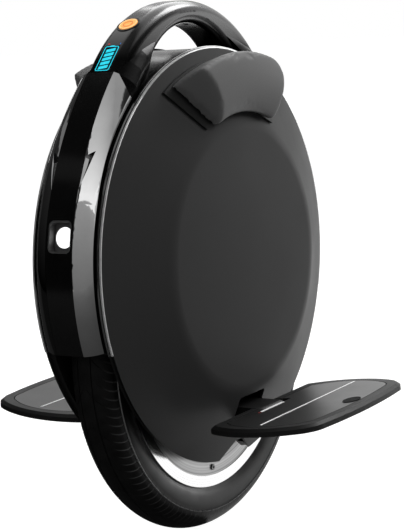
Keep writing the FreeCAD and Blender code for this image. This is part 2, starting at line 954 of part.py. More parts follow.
def make_handle():
    """Arched handle with rounded edges and four shoulders, over the open hand gap."""
    half = handle_width / 2
    low = body_radius + seat_gap
    end = handle_end_angle
    high = arch_radius_at(end)
    arch = extruded([polar(low, end), (polar(low, 0), polar(low, -end)), polar(high, -end),
                     ((0, handle_top_height), polar(high, end))], -half, half)
    handle = arch.makeFillet(handle_round, edges_with_radius(arch, handle_arch_radius))
    shoulder = make_shoulder()
    for part in (shoulder, other_side(shoulder)):
        handle = handle.fuse(part).fuse(other_end(part))
    handle = handle.removeSplitter().cut(grip_funnel())
    handle = handle.cut(display_block(seat_gap))
    pocket = button_rod(button_radius + clear_gap + bezel_wall + seat_gap, -button_pocket_depth, overrun)
    handle = handle.cut(pocket)
    return handle.cut(lift_switch_block(clear_gap, lift_switch_travel + clear_gap))


def display_block(grow):
    """Display window set into the handle's front slope; grow makes its pocket."""
    wide = display_width / 2 + grow
    long = display_length / 2 + grow
    top = handle_top_height + (overrun if grow else 0)
    low = handle_top_height - display_thickness - grow
    return on_arch(box(-wide, wide, -long, long, low - display_sag(), top - (0 if grow else display_sag())),
                   display_angle())


def display_sag():
    """How far the curved slope falls at the ends of the flat display."""
    return handle_arch_radius - math.sqrt(handle_arch_radius ** 2 - (display_length / 2) ** 2)


def make_display_window():
    return display_block(0)


def button_rod(radius, low, high):
    """Rod on the button's axis between two levels from the handle's surface."""
    return on_arch(rod_z(radius, handle_top_height + low, handle_top_height + high), button_angle())


def make_button_bezel():
    inner = button_radius + clear_gap
    ring = button_rod(inner + bezel_wall, bezel_proud - bezel_height, bezel_proud)
    return ring.cut(button_rod(inner, -button_pocket_depth, overrun))


def make_power_button():
    return button_rod(button_radius, button_proud - button_height, button_proud)


def lift_switch_block(grow, rise):
    """Bar let into the underside of the grip; grow and rise make its pocket."""
    wide = lift_switch_width / 2 + grow
    long = lift_switch_length / 2 + grow
    low = grip_underside() - lift_switch_proud
    return box(-wide, wide, -long, long, low, low + lift_switch_height + rise)


def make_lift_switch():
    return lift_switch_block(0, 0)


# Lights and charge port

def headlight_face():
    """Height of the headlight housing's face before it is swung forwards."""
    return body_height + spine_radius - headlight_recess


def headlight_rod(radius, low, high):
    """Rod on the headlight's axis between two levels from the floor of its cavity."""
    floor = headlight_face() - headlight_cavity_share * spine_height
    return swung(rod_z(radius, floor + low, floor + high), body_height, headlight_angle)


def make_headlight_housing():
    """Square housing with round corners and an open cavity, bored for the reflector."""
    face = headlight_face()
    floor = face - headlight_cavity_share * spine_height
    block = headlight_block(seat_gap, body_height + body_radius + seat_gap, face)
    block = block.cut(headlight_block(seat_gap + headlight_wall, floor, face + overrun))
    return block.cut(headlight_rod(headlight_bore_radius, -reflector_depth_share * spine_height, overrun))


def make_headlight_reflector():
    outer = headlight_bore_radius - seat_gap
    ring = headlight_rod(outer, -reflector_depth_share * spine_height, reflector_proud)
    return ring.cut(headlight_rod(outer - reflector_wall, -spine_height, overrun))


def make_headlight_lens():
    radius = headlight_bore_radius - reflector_wall - 2 * seat_gap
    top = reflector_proud - lens_recess
    return headlight_rod(radius, top - lens_thickness, top)


def tail_light(grow):
    """Curved lens in the rear spine; grow makes its opening."""
    half = tail_light_width / 2 + grow
    spread = math.degrees(grow / spine_radius)
    span = tail_light_span + 2 * spread
    outer = spine_radius + tail_light_proud + (overrun if grow else 0)
    inner = spine_radius - tail_light_thickness - grow
    return turned(ring_steps(-half, half, inner, outer), at_body, -tail_light_angle - span / 2, span)


def make_tail_light_lens():
    return tail_light(0)


def rear_slope():
    """Middle (y, z) of the rear spine's bulged slope, and the turn of its outward normal."""
    (y_top, z_top), (y_knee, z_knee) = slope_ends()
    y, z = slope_middle(0)
    return -y, z, math.degrees(math.atan2(z_top - z_knee, y_top - y_knee))


def on_rear_slope(shape):
    """Shape made over the origin, set on the rear slope with +Z along its outward normal."""
    y, z, turn = rear_slope()
    shape.rotate(Vector(0, 0, 0), Vector(1, 0, 0), -turn)
    shape.translate(Vector(0, y, z))
    return shape


def make_charge_socket():
    socket = rod_z(socket_flange_radius, -spine_wall, 0)
    socket = socket.fuse(rod_z(socket_radius, -socket_length, 0)).removeSplitter()
    return on_rear_slope(socket.cut(rod_z(socket_recess_radius, -socket_recess_depth, overrun)))


def make_charge_cap():
    """Rubber cap over the socket, with a lug and a barrel at its upper edge to swing on."""
    lug = cap_lug_width / 2
    reach = cap_radius + cap_lug_reach
    low = cheek_gap
    cap = rod_z(cap_radius, low, low + cap_thickness)
    cap = cap.fuse(box(-lug, lug, -reach, 0, low, low + cap_thickness))
    barrel = rod_x(-lug, lug, -reach, low + cap_barrel_radius, cap_barrel_radius)
    return on_rear_slope(cap.fuse(barrel).removeSplitter())


# Side covers, rings and leg pads

def slope_x(radius):
    """X of the cover's conical outer face at a radius."""
    return cover_face + (body_radius - radius) * slope_per_radius


def make_cover():
    """Left side cover: a conical rim and a gently crowned middle, slotted for the pedal hanger."""
    crease_x = slope_x(cover_crease_radius)
    crown_x = crease_x + cover_crown_rise
    mid = cover_crease_radius / 2
    ball = (cover_crease_radius ** 2 + cover_crown_rise ** 2) / (2 * cover_crown_rise)
    mid_x = crown_x - ball + math.sqrt(ball ** 2 - mid ** 2)
    flange = body_radius - cover_thickness / slope_per_radius
    thick = cover_thickness
    cover = turned([(cover_face, flange), (cover_face, body_radius), (crease_x, cover_crease_radius),
                    ((mid_x, mid), (crown_x, 0)), (crown_x - thick, 0),
                    ((mid_x - thick, mid), (crease_x - thick, cover_crease_radius))], at_body)
    half = hanger_foot_width / 2 + cover_slot_side
    slot = box(plate_face, pin_reach + overrun, -half, half, pin_height - cover_slot_below,
               pin_height + cover_slot_above)
    return cover.cut(slot).cut(bottom_notch(frame_face, pin_reach))


def make_ring_carriers():
    """Black rings between the side plates and the covers."""
    ring = turned(ring_steps(plate_face, cover_face, carrier_inner_radius, carrier_outer_radius), at_body)
    ring = ring.cut(bottom_notch(frame_face, pin_reach))
    return group([ring, other_side(ring)])


def make_trim_rings():
    """Thin bright rings beside the cheeks."""
    start = plate_face + trim_ring_offset
    ring = turned(ring_steps(start, start + trim_ring_width, carrier_outer_radius + seat_gap,
                             trim_ring_radius), at_body, -light_ring_end_angle, 2 * light_ring_end_angle)
    return group([ring, other_side(ring)])


def make_light_ring():
    """Left light ring, from the lower front over the top to the lower rear."""
    return turned(ring_steps(cover_face - light_ring_width, cover_face, carrier_outer_radius + seat_gap,
                             light_ring_radius), at_body, -light_ring_end_angle, 2 * light_ring_end_angle)


def make_pad_base():
    """Thin plate on the cover's slope under the left pad."""
    low = pad_inner_radius + pad_base_inset
    high = pad_outer_radius - pad_top_slope
    rise = pad_base_thickness
    plate = turned([(slope_x(low) + seat_gap, low), (slope_x(low) + rise, low), (slope_x(high) + rise, high),
                    (slope_x(high) + seat_gap, high)], at_body, -pad_base_rear_angle,
                   pad_base_rear_angle + pad_base_front_angle)
    size = 2 * pad_depth
    block = box(0, size, -size, 0, body_height, body_height + high + size)
    block.rotate(Vector(0, 0, body_height + high), Vector(1, 0, 0), pad_base_front_lean)
    return plate.cut(swung(block, body_height, pad_base_front_angle))


def make_leg_pad():
    """Left leg pad: a wedge on the slope with a crowned outer face, a hollow lower edge and a front facet."""
    low = pad_inner_radius
    high = pad_outer_radius
    root = high - pad_top_slope
    face = slope_x(cover_crease_radius) + pad_rise
    under = pad_base_thickness + seat_gap
    middle = (low + high) / 2
    pad = turned([(slope_x(low) + under, low), (face, low), ((face + pad_crown, middle), (face, high)),
                  (slope_x(root) + under, root)], at_body, -pad_rear_angle, pad_rear_angle + pad_front_angle)
    pad = pad.makeFillet(pad_top_corner, rear_corners(pad, face, slope_x(root), slope_x(middle)))
    pad = pad.makeFillet(pad_low_corner, rear_corners(pad, face, slope_x(middle), face))
    outer = [edge for edge in pad.Edges if edge.BoundBox.XMin > face - running_gap]
    pad = pad.makeFillet(pad_edge_round, [edge for edge in outer if not on_front_end(edge)])
    return pad.cut(pad_facet(slope_x(middle) + under))


def rear_corners(pad, face, x_from, x_to):
    """Straight rear edges that reach the pad's outer face and start between two places along X."""
    straight = [edge for edge in pad.Edges if isinstance(edge.Curve, Part.Line)]
    reaching = [edge for edge in straight if edge.BoundBox.XMax > face - running_gap and edge.BoundBox.YMin > 0]
    return [edge for edge in reaching if x_from < edge.BoundBox.XMin < x_to]


def on_front_end(edge):
    """Whether an edge of the pad lies in its plain front end."""
    ends = [vertex.Point for vertex in edge.Vertexes]
    turns = [math.degrees(math.atan2(-end.y, end.z - body_height)) for end in ends]
    return min(turns) > pad_facet_angle


def pad_facet(foot_x):
    """Block in front of the pad's facet, which leans back from its foot on the base."""
    size = 2 * pad_depth
    block = box(foot_x - size, foot_x + size, -size, 0, body_height, body_height + body_radius + pad_depth)
    block.rotate(Vector(foot_x, 0, 0), Vector(0, 0, 1), pad_facet_lean)
    return swung(block, body_height, pad_facet_angle)


# Pedals

def pedal_wire(inset, level):
    """Closed plan outline of the pedal, less an inset, at a level over the pin."""
    half = pedal_length / 2 - inset
    tail = -pedal_tail + inset
    reach = pedal_reach - inset
    tail_half = pedal_tail_length / 2 - inset

    def to_point(place):
        return Vector(place[0], place[1], level)

    side_end = (pedal_side_end_share * reach, pedal_side_width_share * half)
    corner = (pedal_corner_share * reach, pedal_corner_width_share * half)
    corner_out = (pedal_corner_out_share * reach, pedal_corner_mid_share * half)
    belly = (pedal_belly_share * reach, half)
    steps = [(tail, -tail_half), ((belly[0], -belly[1]), (side_end[0], -side_end[1])),
             ((corner_out[0], -corner_out[1]), (corner[0], -corner[1])),
             ((reach, 0), corner), (corner_out, side_end), (belly, (tail, tail_half))]
    return Part.Wire(outline_edges(steps, to_point))


def placed_pedal(shape):
    """Pedal piece made round the pin, tilted and set on the left pin."""
    shape.rotate(Vector(0, 0, 0), Vector(0, 1, 0), -pedal_tilt)
    shape.translate(Vector(pin_reach, 0, pin_height))
    return shape


def make_pedal():
    """Left pedal plate with a bevelled edge, a mat pocket and two barrels on the pin."""
    top = pedal_top_above_pin
    edge_top = top - pedal_top_chamfer
    edge_low = edge_top - pedal_edge_height
    low = top - pedal_thickness
    wires = [pedal_wire(pedal_top_chamfer, top), pedal_wire(0, edge_top), pedal_wire(0, edge_low),
             pedal_wire(pedal_under_inset, low)]
    plate = Part.makeLoft(wires, True, True)
    start = hanger_foot_width / 2 + pedal_notch_gap
    for side in (-1, 1):
        barrel = Part.makeCylinder(pedal_barrel_radius, pedal_barrel_end - start,
                                   Vector(0, side * start, 0), Vector(0, side, 0))
        plate = plate.fuse(barrel)
    notch = box(-pedal_tail - overrun, pedal_notch_reach, -start, start, low - overrun, top + overrun)
    plate = plate.cut(notch).cut(rod_y(pin_length + overrun, 0, 0, pin_radius + running_gap))
    pocket = Part.Face(pedal_wire(grip_inset, top - grip_mat_thickness))
    return placed_pedal(plate.cut(pocket.extrude(Vector(0, 0, overrun))).removeSplitter())


def make_grip_mat():
    """Left grip mat, let into the pedal's top with a groove round it."""
    low = pedal_top_above_pin - grip_mat_thickness
    mat = Part.Face(pedal_wire(grip_inset + grip_groove, low)).extrude(Vector(0, 0, grip_mat_thickness))
    start = hanger_foot_width / 2 + pedal_notch_gap + grip_groove
    notch = box(-pedal_tail - overrun, pedal_notch_reach + grip_groove, -start, start, low - overrun,
                low + overrun)
    return placed_pedal(mat.cut(notch))


# Electrics inside the shell

def make_battery_packs():
    half = battery_width / 2
    low = body_height + battery_rise
    pack = box(plate_face, plate_face + battery_thickness, -half, half, low, low + battery_height)
    return group([pack, other_side(pack)])


def heat_sink_low():
    """Height of the heat sink's lower edge, above the wheel arch."""
    return axle_height + tyre_radius + arch_clearance + arch_thickness + heat_sink_rise


def make_heat_sink():
    """Finned plate on the inside of the right side plate."""
    half = heat_sink_length / 2
    low = heat_sink_low()
    sink = box(-frame_face, heat_sink_thickness - frame_face, -half, half, low, low + heat_sink_height)
    pitch = heat_sink_height / fin_count
    gap = pitch * fin_gap_share
    for index in range(fin_count):
        start = low + index * pitch + (pitch - gap) / 2
        sink = sink.cut(box(heat_sink_thickness - frame_face - fin_depth, heat_sink_thickness + overrun,
                            -half - overrun, half + overrun, start, start + gap))
    return sink


def make_controller_board():
    half = heat_sink_length / 2 - board_margin
    low = heat_sink_low() + board_margin
    high = heat_sink_low() + heat_sink_height - board_margin
    face = heat_sink_thickness - frame_face
    return box(face, face + board_thickness, -half, half, low, high)


def make_parts():
    """Every piece by its name."""
    left_cover = make_cover()
    left_motor_cover = make_motor_cover()
    side_plate = make_side_plate()
    hanger = make_hanger()
    front_cheek = make_front_cheek()
    rear_cheek = make_rear_cheek()
    light_ring = make_light_ring()
    pad_base = make_pad_base()
    leg_pad = make_leg_pad()
    pedal = make_pedal()
    grip_mat = make_grip_mat()
    return {
        "tyre": make_tyre(),
        "inner_tube": make_inner_tube(),
        "rim": make_rim(),
        "valve_stem": make_valve_stem(),
        "motor_ring": make_motor_ring(),
        "rotor_magnets": make_rotor_magnets(),
        "left_motor_cover": left_motor_cover,
        "right_motor_cover": other_side(left_motor_cover),
        "motor_cover_screws": make_motor_cover_screws(),
        "wheel_bearings": make_wheel_bearings(),
        "axle": make_axle(),
        "stator_core": make_stator_core(),
        "stator_windings": make_stator_windings(),
        "axle_spacers": make_axle_spacers(),
        "left_hanger": hanger,
        "right_hanger": other_side(hanger),
        "hanger_bolts": make_hanger_bolts(),
        "axle_nuts": make_axle_nuts(),
        "pedal_pins": make_pedal_pins(),
        "wheel_arch": make_wheel_arch(),
        "outer_band": make_outer_band(),
        "left_side_plate": side_plate,
        "right_side_plate": other_side(side_plate),
        "front_spine": make_front_spine(),
        "rear_spine": make_rear_spine(),
        "left_front_cheek": front_cheek,
        "right_front_cheek": other_side(front_cheek),
        "left_rear_cheek": rear_cheek,
        "right_rear_cheek": other_side(rear_cheek),
        "cheek_scoops": make_cheek_scoops(),
        "handle": make_handle(),
        "display_window": make_display_window(),
        "button_bezel": make_button_bezel(),
        "power_button": make_power_button(),
        "lift_switch": make_lift_switch(),
        "headlight_housing": make_headlight_housing(),
        "headlight_reflector": make_headlight_reflector(),
        "headlight_lens": make_headlight_lens(),
        "tail_light_lens": make_tail_light_lens(),
        "charge_socket": make_charge_socket(),
        "charge_cap": make_charge_cap(),
        "left_cover": left_cover,
        "right_cover": other_side(left_cover),
        "ring_carriers": make_ring_carriers(),
        "trim_rings": make_trim_rings(),
        "left_light_ring": light_ring,
        "right_light_ring": other_side(light_ring),
        "left_pad_base": pad_base,
        "right_pad_base": other_side(pad_base),
        "left_leg_pad": leg_pad,
        "right_leg_pad": other_side(leg_pad),
        "left_pedal": pedal,
        "right_pedal": other_side(pedal),
        "left_grip_mat": grip_mat,
        "right_grip_mat": other_side(grip_mat),
        "battery_packs": make_battery_packs(),
        "heat_sink": make_heat_sink(),
        "controller_board": make_controller_board(),
    }


def main():
    os.makedirs("parts", exist_ok=True)
    for name, shape in make_parts().items():
        shape.exportStep(os.path.join("parts", name + ".step"))
        print(name, len(shape.Solids), "solids", round(shape.Volume), "mm3", "valid", shape.isValid())


main()
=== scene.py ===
"""Electric unicycle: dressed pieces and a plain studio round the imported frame."""
import logging
import math
from contextlib import contextmanager
from dataclasses import dataclass
from enum import Enum
from typing import Callable, ClassVar, Iterator, Sequence

import bmesh
import bpy
from mathutils import Matrix, Vector


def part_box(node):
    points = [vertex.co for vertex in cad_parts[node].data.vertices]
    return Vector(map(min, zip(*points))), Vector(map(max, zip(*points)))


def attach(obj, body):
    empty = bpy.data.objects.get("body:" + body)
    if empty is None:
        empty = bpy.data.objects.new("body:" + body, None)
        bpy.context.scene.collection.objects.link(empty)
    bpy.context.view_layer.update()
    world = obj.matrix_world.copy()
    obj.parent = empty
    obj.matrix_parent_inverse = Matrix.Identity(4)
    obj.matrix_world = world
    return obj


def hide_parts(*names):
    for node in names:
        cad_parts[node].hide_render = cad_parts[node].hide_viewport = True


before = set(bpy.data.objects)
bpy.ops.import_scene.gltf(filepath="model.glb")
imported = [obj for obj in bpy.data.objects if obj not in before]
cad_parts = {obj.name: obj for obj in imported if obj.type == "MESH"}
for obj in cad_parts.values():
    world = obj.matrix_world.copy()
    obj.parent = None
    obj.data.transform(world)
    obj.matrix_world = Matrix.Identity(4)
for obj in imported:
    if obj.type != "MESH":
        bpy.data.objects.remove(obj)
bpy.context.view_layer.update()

Piece = bpy.types.Object
Socket = bpy.types.NodeSocket
Pair = tuple[float, float]
Colour = tuple[float, float, float]
Test = Callable[[Vector, Vector], bool]

log = logging.getLogger("unicycle")

AXLE = Vector((0.0, 0.0, 0.204))
BODY = Vector((0.0, 0.0, 0.295))
X_AXIS = Vector((1.0, 0.0, 0.0))
MERGE = 0.00001
FULL_TURN = 2 * math.pi
NOISE_LOW, NOISE_HIGH = 0.3, 0.7
SINK_SHARE = 0.4
WHITE = (1.0, 1.0, 1.0, 1.0)
BLACK = (0.0, 0.0, 0.0, 1.0)


class Side(Enum):
    """Sides of the machine, with the sign of X on each."""

    LEFT = ("left", 1)
    RIGHT = ("right", -1)

    @property
    def word(self) -> str:
        """Name of the side as the nodes spell it."""
        return self.value[0]

    @property
    def flip(self) -> Matrix:
        """Place that takes a piece of the left side to this side."""
        return Matrix.Scale(self.value[1], 4, X_AXIS)


class Start(Enum):
    """Primitives that pieces start from."""

    PLANE = "primitive_plane_add"
    CYLINDER = "primitive_cylinder_add"


class Kind(Enum):
    """Kinds of mesh element to select."""

    VERT = "VERT"
    FACE = "FACE"


class Grain(Enum):
    """Patterns that break up a finish."""

    CLOUD = "cloud"
    PEBBLE = "pebble"
    SAND = "sand"
    RINGS = "rings"
    BRUSH = "brush"


# Hand tools


def rename(piece: Piece, name: str) -> Piece:
    """Names a piece and its mesh."""
    piece.name = piece.data.name = name
    return piece


def begin(start: Start, name: str, **sizes: object) -> Piece:
    """Adds a primitive as the start of a piece, with nothing else selected.

    Args:
        start: Primitive to add.
        name: Name of the piece.
        **sizes: Size and place of the primitive.

    Returns:
        The new piece.
    """
    bpy.ops.object.select_all(action="DESELECT")
    getattr(bpy.ops.mesh, start.value)(**sizes)
    return rename(bpy.context.active_object, name)


def link(piece: Piece) -> Piece:
    """Puts a new object into the scene."""
    bpy.context.scene.collection.objects.link(piece)
    return piece


def hold(piece: Piece) -> None:
    """Makes a piece the only one selected and the active one.

    Args:
        piece: Piece to select.
    """
    bpy.ops.object.select_all(action="DESELECT")
    piece.select_set(True)
    bpy.context.view_layer.objects.active = piece


@contextmanager
def editing(piece: Piece) -> Iterator[None]:
    """Opens a piece in edit mode, and closes it again.

    Args:
        piece: Piece to edit.

    Yields:
        Nothing.
    """
    hold(piece)
    bpy.ops.object.mode_set(mode="EDIT")
    bpy.ops.mesh.select_mode(type="VERT")
    yield
    bpy.ops.object.mode_set(mode="OBJECT")


def pick_all() -> None:
    """Selects the whole of the open piece."""
    bpy.ops.mesh.select_all(action="SELECT")


def choose(piece: Piece, kind: Kind, test: Test) -> int:
    """Selects the elements of an open piece that pass a test, and no others.

    Args:
        piece: Piece in edit mode.
        kind: Kind of element to select.
        test: Test of an element's middle and its normal.

    Returns:
        How many were selected.
    """
    bpy.ops.mesh.select_mode(type=kind.value)
    bpy.ops.mesh.select_all(action="DESELECT")
    mesh = bmesh.from_edit_mesh(piece.data)
    if kind is Kind.VERT:
        found = [(corner, corner.co, corner.normal) for corner in mesh.verts]
    else:
        found = [(face, face.calc_center_median(), face.normal) for face in mesh.faces]
    chosen = [element for element, middle, normal in found if test(middle, normal)]
    for element in chosen:
        element.select = True
    mesh.select_flush_mode()
    bmesh.update_edit_mesh(piece.data)
    return len(chosen)


def close_up() -> None:
    """Merges doubled corners of the open piece and points its faces outwards."""
    bpy.ops.mesh.select_mode(type="VERT")
    pick_all()
    bpy.ops.mesh.remove_doubles(threshold=MERGE)
    bpy.ops.mesh.normals_make_consistent(inside=False)


def extrude(rise: Vector) -> None:
    """Extrudes what is selected of the open piece, and closes the piece up."""
    bpy.ops.mesh.extrude_region_move(TRANSFORM_OT_translate={"value": rise})
    close_up()


def draw_line(name: str, points: Sequence[Vector]) -> Piece:
    """Draws a closed line of edges by extruding one corner from point to point.

    Args:
        name: Name of the piece.
        points: Points along the line.

    Returns:
        The line as a piece.
    """
    piece = begin(Start.PLANE, name, size=1.0)
    with editing(piece):
        pick_all()
        bpy.ops.mesh.merge(type="CENTER")
        bpy.ops.transform.translate(value=points[0])
        for here, there in zip(points, points[1:]):
            bpy.ops.mesh.extrude_vertices_move(TRANSFORM_OT_translate={"value": there - here})
        ends = (points[0], points[-1])
        choose(piece, Kind.VERT, lambda at, _: min((at - end).length for end in ends) < MERGE)
        bpy.ops.mesh.edge_face_add()
    return piece


def plate(name: str, outline: Sequence[Vector], rise: Vector) -> Piece:
    """Fills a flat outline and extrudes it into a plate.

    Args:
        name: Name of the piece.
        outline: Corners in order.
        rise: Way from the plate's foot to its top.

    Returns:
        The plate.
    """
    piece = draw_line(name, outline)
    with editing(piece):
        pick_all()
        bpy.ops.mesh.edge_face_add()
        extrude(rise)
    return piece


def modifier(piece: Piece, kind: str, **settings: object) -> bpy.types.Modifier:
    """Adds a modifier.

    Args:
        piece: Piece or node to change.
        kind: Kind of modifier.
        **settings: Its properties.

    Returns:
        The modifier.
    """
    added = piece.modifiers.new(kind.lower(), kind)
    for key, value in settings.items():
        setattr(added, key, value)
    return added


def apply(piece: Piece, added: bpy.types.Modifier) -> None:
    """Applies one modifier to its piece."""
    hold(piece)
    bpy.ops.object.modifier_apply(modifier=added.name)


def change(piece: Piece, kind: str, **settings: object) -> None:
    """Adds a modifier to a piece and applies it."""
    apply(piece, modifier(piece, kind, **settings))


def cut(piece: Piece, cutter: Piece) -> None:
    """Cuts one piece out of another and throws the cutter away."""
    change(piece, "BOOLEAN", object=cutter, operation="DIFFERENCE", solver="EXACT")
    bpy.data.objects.remove(cutter)


def bevel(width: float, segments: int, angle: float) -> dict[str, object]:
    """Settings of a bevel of the edges sharper than an angle in degrees."""
    return {"width": width, "segments": segments, "limit_method": "ANGLE", "angle_limit": math.radians(angle)}


def soften(piece: Piece, width: float, segments: int = 2, angle: float = 40.0) -> None:
    """Bevels the sharp edges of a piece for good."""
    change(piece, "BEVEL", **bevel(width, segments, angle))


def smooth(piece: Piece, angle: float = 35.0) -> None:
    """Shades a piece smooth, apart from edges sharper than an angle in degrees."""
    hold(piece)
    bpy.ops.object.shade_smooth_by_angle(angle=math.radians(angle))


def settle(piece: Piece, place: Matrix) -> Piece:
    """Puts a piece at a place, and the place into its mesh.

    Args:
        piece: Piece to move.
        place: Where it goes; a mirror turns its faces too.

    Returns:
        The same piece.
    """
    hold(piece)
    piece.matrix_world = place
    bpy.ops.object.transform_apply(location=True, rotation=True, scale=True)
    if place.determinant() < 0:
        with editing(piece):
            pick_all()
            bpy.ops.mesh.flip_normals()
    return piece


def copy_of(piece: Piece, name: str, place: Matrix) -> Piece:
    """Copies a piece with its own mesh, and puts the copy at a place.

    Args:
        piece: Piece to copy.
        name: Name of the copy.
        place: Where the copy goes.

    Returns:
        The copy.
    """
    copy = piece.copy()
    copy.data = piece.data.copy()
    return settle(link(rename(copy, name)), place)


def joined(pieces: Sequence[Piece], name: str) -> Piece:
    """Joins pieces into one.

    Args:
        pieces: Pieces to join.
        name: Name of the whole.

    Returns:
        The whole.
    """
    hold(pieces[0])
    for piece in pieces:
        piece.select_set(True)
    bpy.ops.object.join()
    return rename(pieces[0], name)


def rounded(half_wide: float, half_high: float, corner: float, steps: int = 5) -> list[Pair]:
    """Corners of a rectangle with round corners, in order round it.

    Args:
        half_wide: Half its width.
        half_high: Half its height.
        corner: Radius of its corners.
        steps: Steps in each corner.

    Returns:
        Pairs across and up.
    """
    places = []
    for turn, (across, up) in enumerate(((1, 1), (-1, 1), (-1, -1), (1, -1))):
        for step in range(steps + 1):
            angle = math.radians(90 * (turn + step / steps))
            places.append((across * (half_wide - corner) + corner * math.cos(angle),
                           up * (half_high - corner) + corner * math.sin(angle)))
    return places


def ellipse(half_wide: float, half_high: float, steps: int) -> list[Pair]:
    """Corners of an ellipse, in order round it."""
    turns = [FULL_TURN * step / steps for step in range(steps)]
    return [(half_wide * math.cos(turn), half_high * math.sin(turn)) for turn in turns]


# Finishes


def linear(level: float) -> float:
    """Linear value of a display level from 0 to 255."""
    share = level / 255
    return share / 12.92 if share <= 0.04045 else ((share + 0.055) / 1.055) ** 2.4


def shade(level: float | Colour) -> Colour:
    """Linear colour of display levels; one level alone is a grey."""
    red, green, blue = level if isinstance(level, tuple) else (level,) * 3
    return linear(red), linear(green), linear(blue)


class Nodes:
    """Node tree of a material or the world, with short ways to add to it."""

    def __init__(self, owner: bpy.types.Material | bpy.types.World, shader: str = "Principled BSDF") -> None:
        """Opens a tree that holds only its output and its main shader.

        Args:
            owner: Material or world that has the tree.
            shader: Name of its main shader.
        """
        owner.use_nodes = True
        self.owner = owner
        self.tree = owner.node_tree
        self.shader = self.tree.nodes[shader]

    def feed(self, node: bpy.types.Node, inputs: dict[str | int, object]) -> None:
        """Links the inputs of a node that are given a socket, and sets the others.

        Args:
            node: Node to feed.
            inputs: Levels and sockets, by input.
        """
        for key, value in inputs.items():
            if isinstance(value, Socket):
                self.tree.links.new(value, node.inputs[key])
            else:
                node.inputs[key].default_value = value

    def set(self, **inputs: object) -> None:
        """Feeds the main shader; an underscore stands for a space."""
        self.feed(self.shader, {key.replace("_", " "): value for key, value in inputs.items()})

    def add(self, kind: str, output: str, inputs: dict[str | int, object], **settings: object) -> Socket:
        """Adds a node.

        Args:
            kind: Kind of shader node.
            output: Output to hand back.
            inputs: Levels of its inputs, or sockets to link to them.
            **settings: Its properties.

        Returns:
            The output.
        """
        node = self.tree.nodes.new(f"ShaderNode{kind}")
        for key, value in settings.items():
            setattr(node, key, value)
        self.feed(node, inputs)
        return node.outputs[output]

    def place(self, centre: Vector = Vector(), scale: Colour = (1.0, 1.0, 1.0)) -> Socket:
        """Reads object coordinates.

        Args:
            centre: Point to measure them from.
            scale: Stretch along each axis.

        Returns:
            The coordinates.
        """
        where = self.add("TexCoord", "Object", {})
        shift = [-c * s for c, s in zip(centre, scale)]
        return self.add("Mapping", "Vector", {"Vector": where, "Scale": scale, "Location": shift},
                        vector_type="POINT")

    def noise(self, where: Socket, scale: float, detail: float = 3.0) -> Socket:
        """Cloudy value round 0.5."""
        return self.add("TexNoise", "Fac", {"Vector": where, "Scale": scale, "Detail": detail})

    def cells(self, where: Socket, scale: float) -> Socket:
        """Distance from the middle of the nearest pebble."""
        return self.add("TexVoronoi", "Distance", {"Vector": where, "Scale": scale})

    def length(self, where: Socket) -> Socket:
        """Distance of a place from its origin."""
        return self.add("VectorMath", "Value", {0: where}, operation="LENGTH")

    def radius(self) -> Socket:
        """Distance from the axle."""
        return self.length(self.place(AXLE, (0.0, 1.0, 1.0)))

    def rings(self, scale: float, detail: float = 2.0) -> Socket:
        """Turning marks round the axle."""
        return self.add("TexNoise", "Fac", {"W": self.radius(), "Scale": scale, "Detail": detail},
                        noise_dimensions="1D")

    def blend(self, value: Socket, dark: Colour, light: Colour) -> Socket:
        """Blends two colours over the range of a noise.

        Args:
            value: Value of the noise.
            dark: Colour at its low end.
            light: Colour at its high end.

        Returns:
            The colour.
        """
        colour = self.add("ValToRGB", "Color", {"Fac": value})
        first, last = colour.node.color_ramp.elements
        first.position, last.position = NOISE_LOW, NOISE_HIGH
        first.color, last.color = (*dark, 1.0), (*light, 1.0)
        return colour

    def span(self, value: Socket, low: float, high: float, start: float = NOISE_LOW,
             end: float = NOISE_HIGH) -> Socket:
        """Number between two, as a value goes from its start to its end."""
        return self.add("MapRange", "Result", {"Value": value, "From Min": start, "From Max": end,
                                               "To Min": low, "To Max": high})

    def bump(self, value: Socket, depth: float, strength: float) -> Socket:
        """Normals of a surface raised by a value times a depth."""
        return self.add("Bump", "Normal", {"Height": value, "Distance": depth, "Strength": strength})

    def seen(self) -> Socket:
        """Tells rays that the camera sees, straight, mirrored or passed, from the others.

        Returns:
            Value of 1 for them and of 0 for the others.
        """
        total = self.add("LightPath", "Is Camera Ray", {})
        rays = total.node.outputs
        for name in ("Is Glossy Ray", "Is Transmission Ray"):
            total = self.add("Math", "Value", {0: total, 1: rays[name]}, operation="MAXIMUM")
        return total


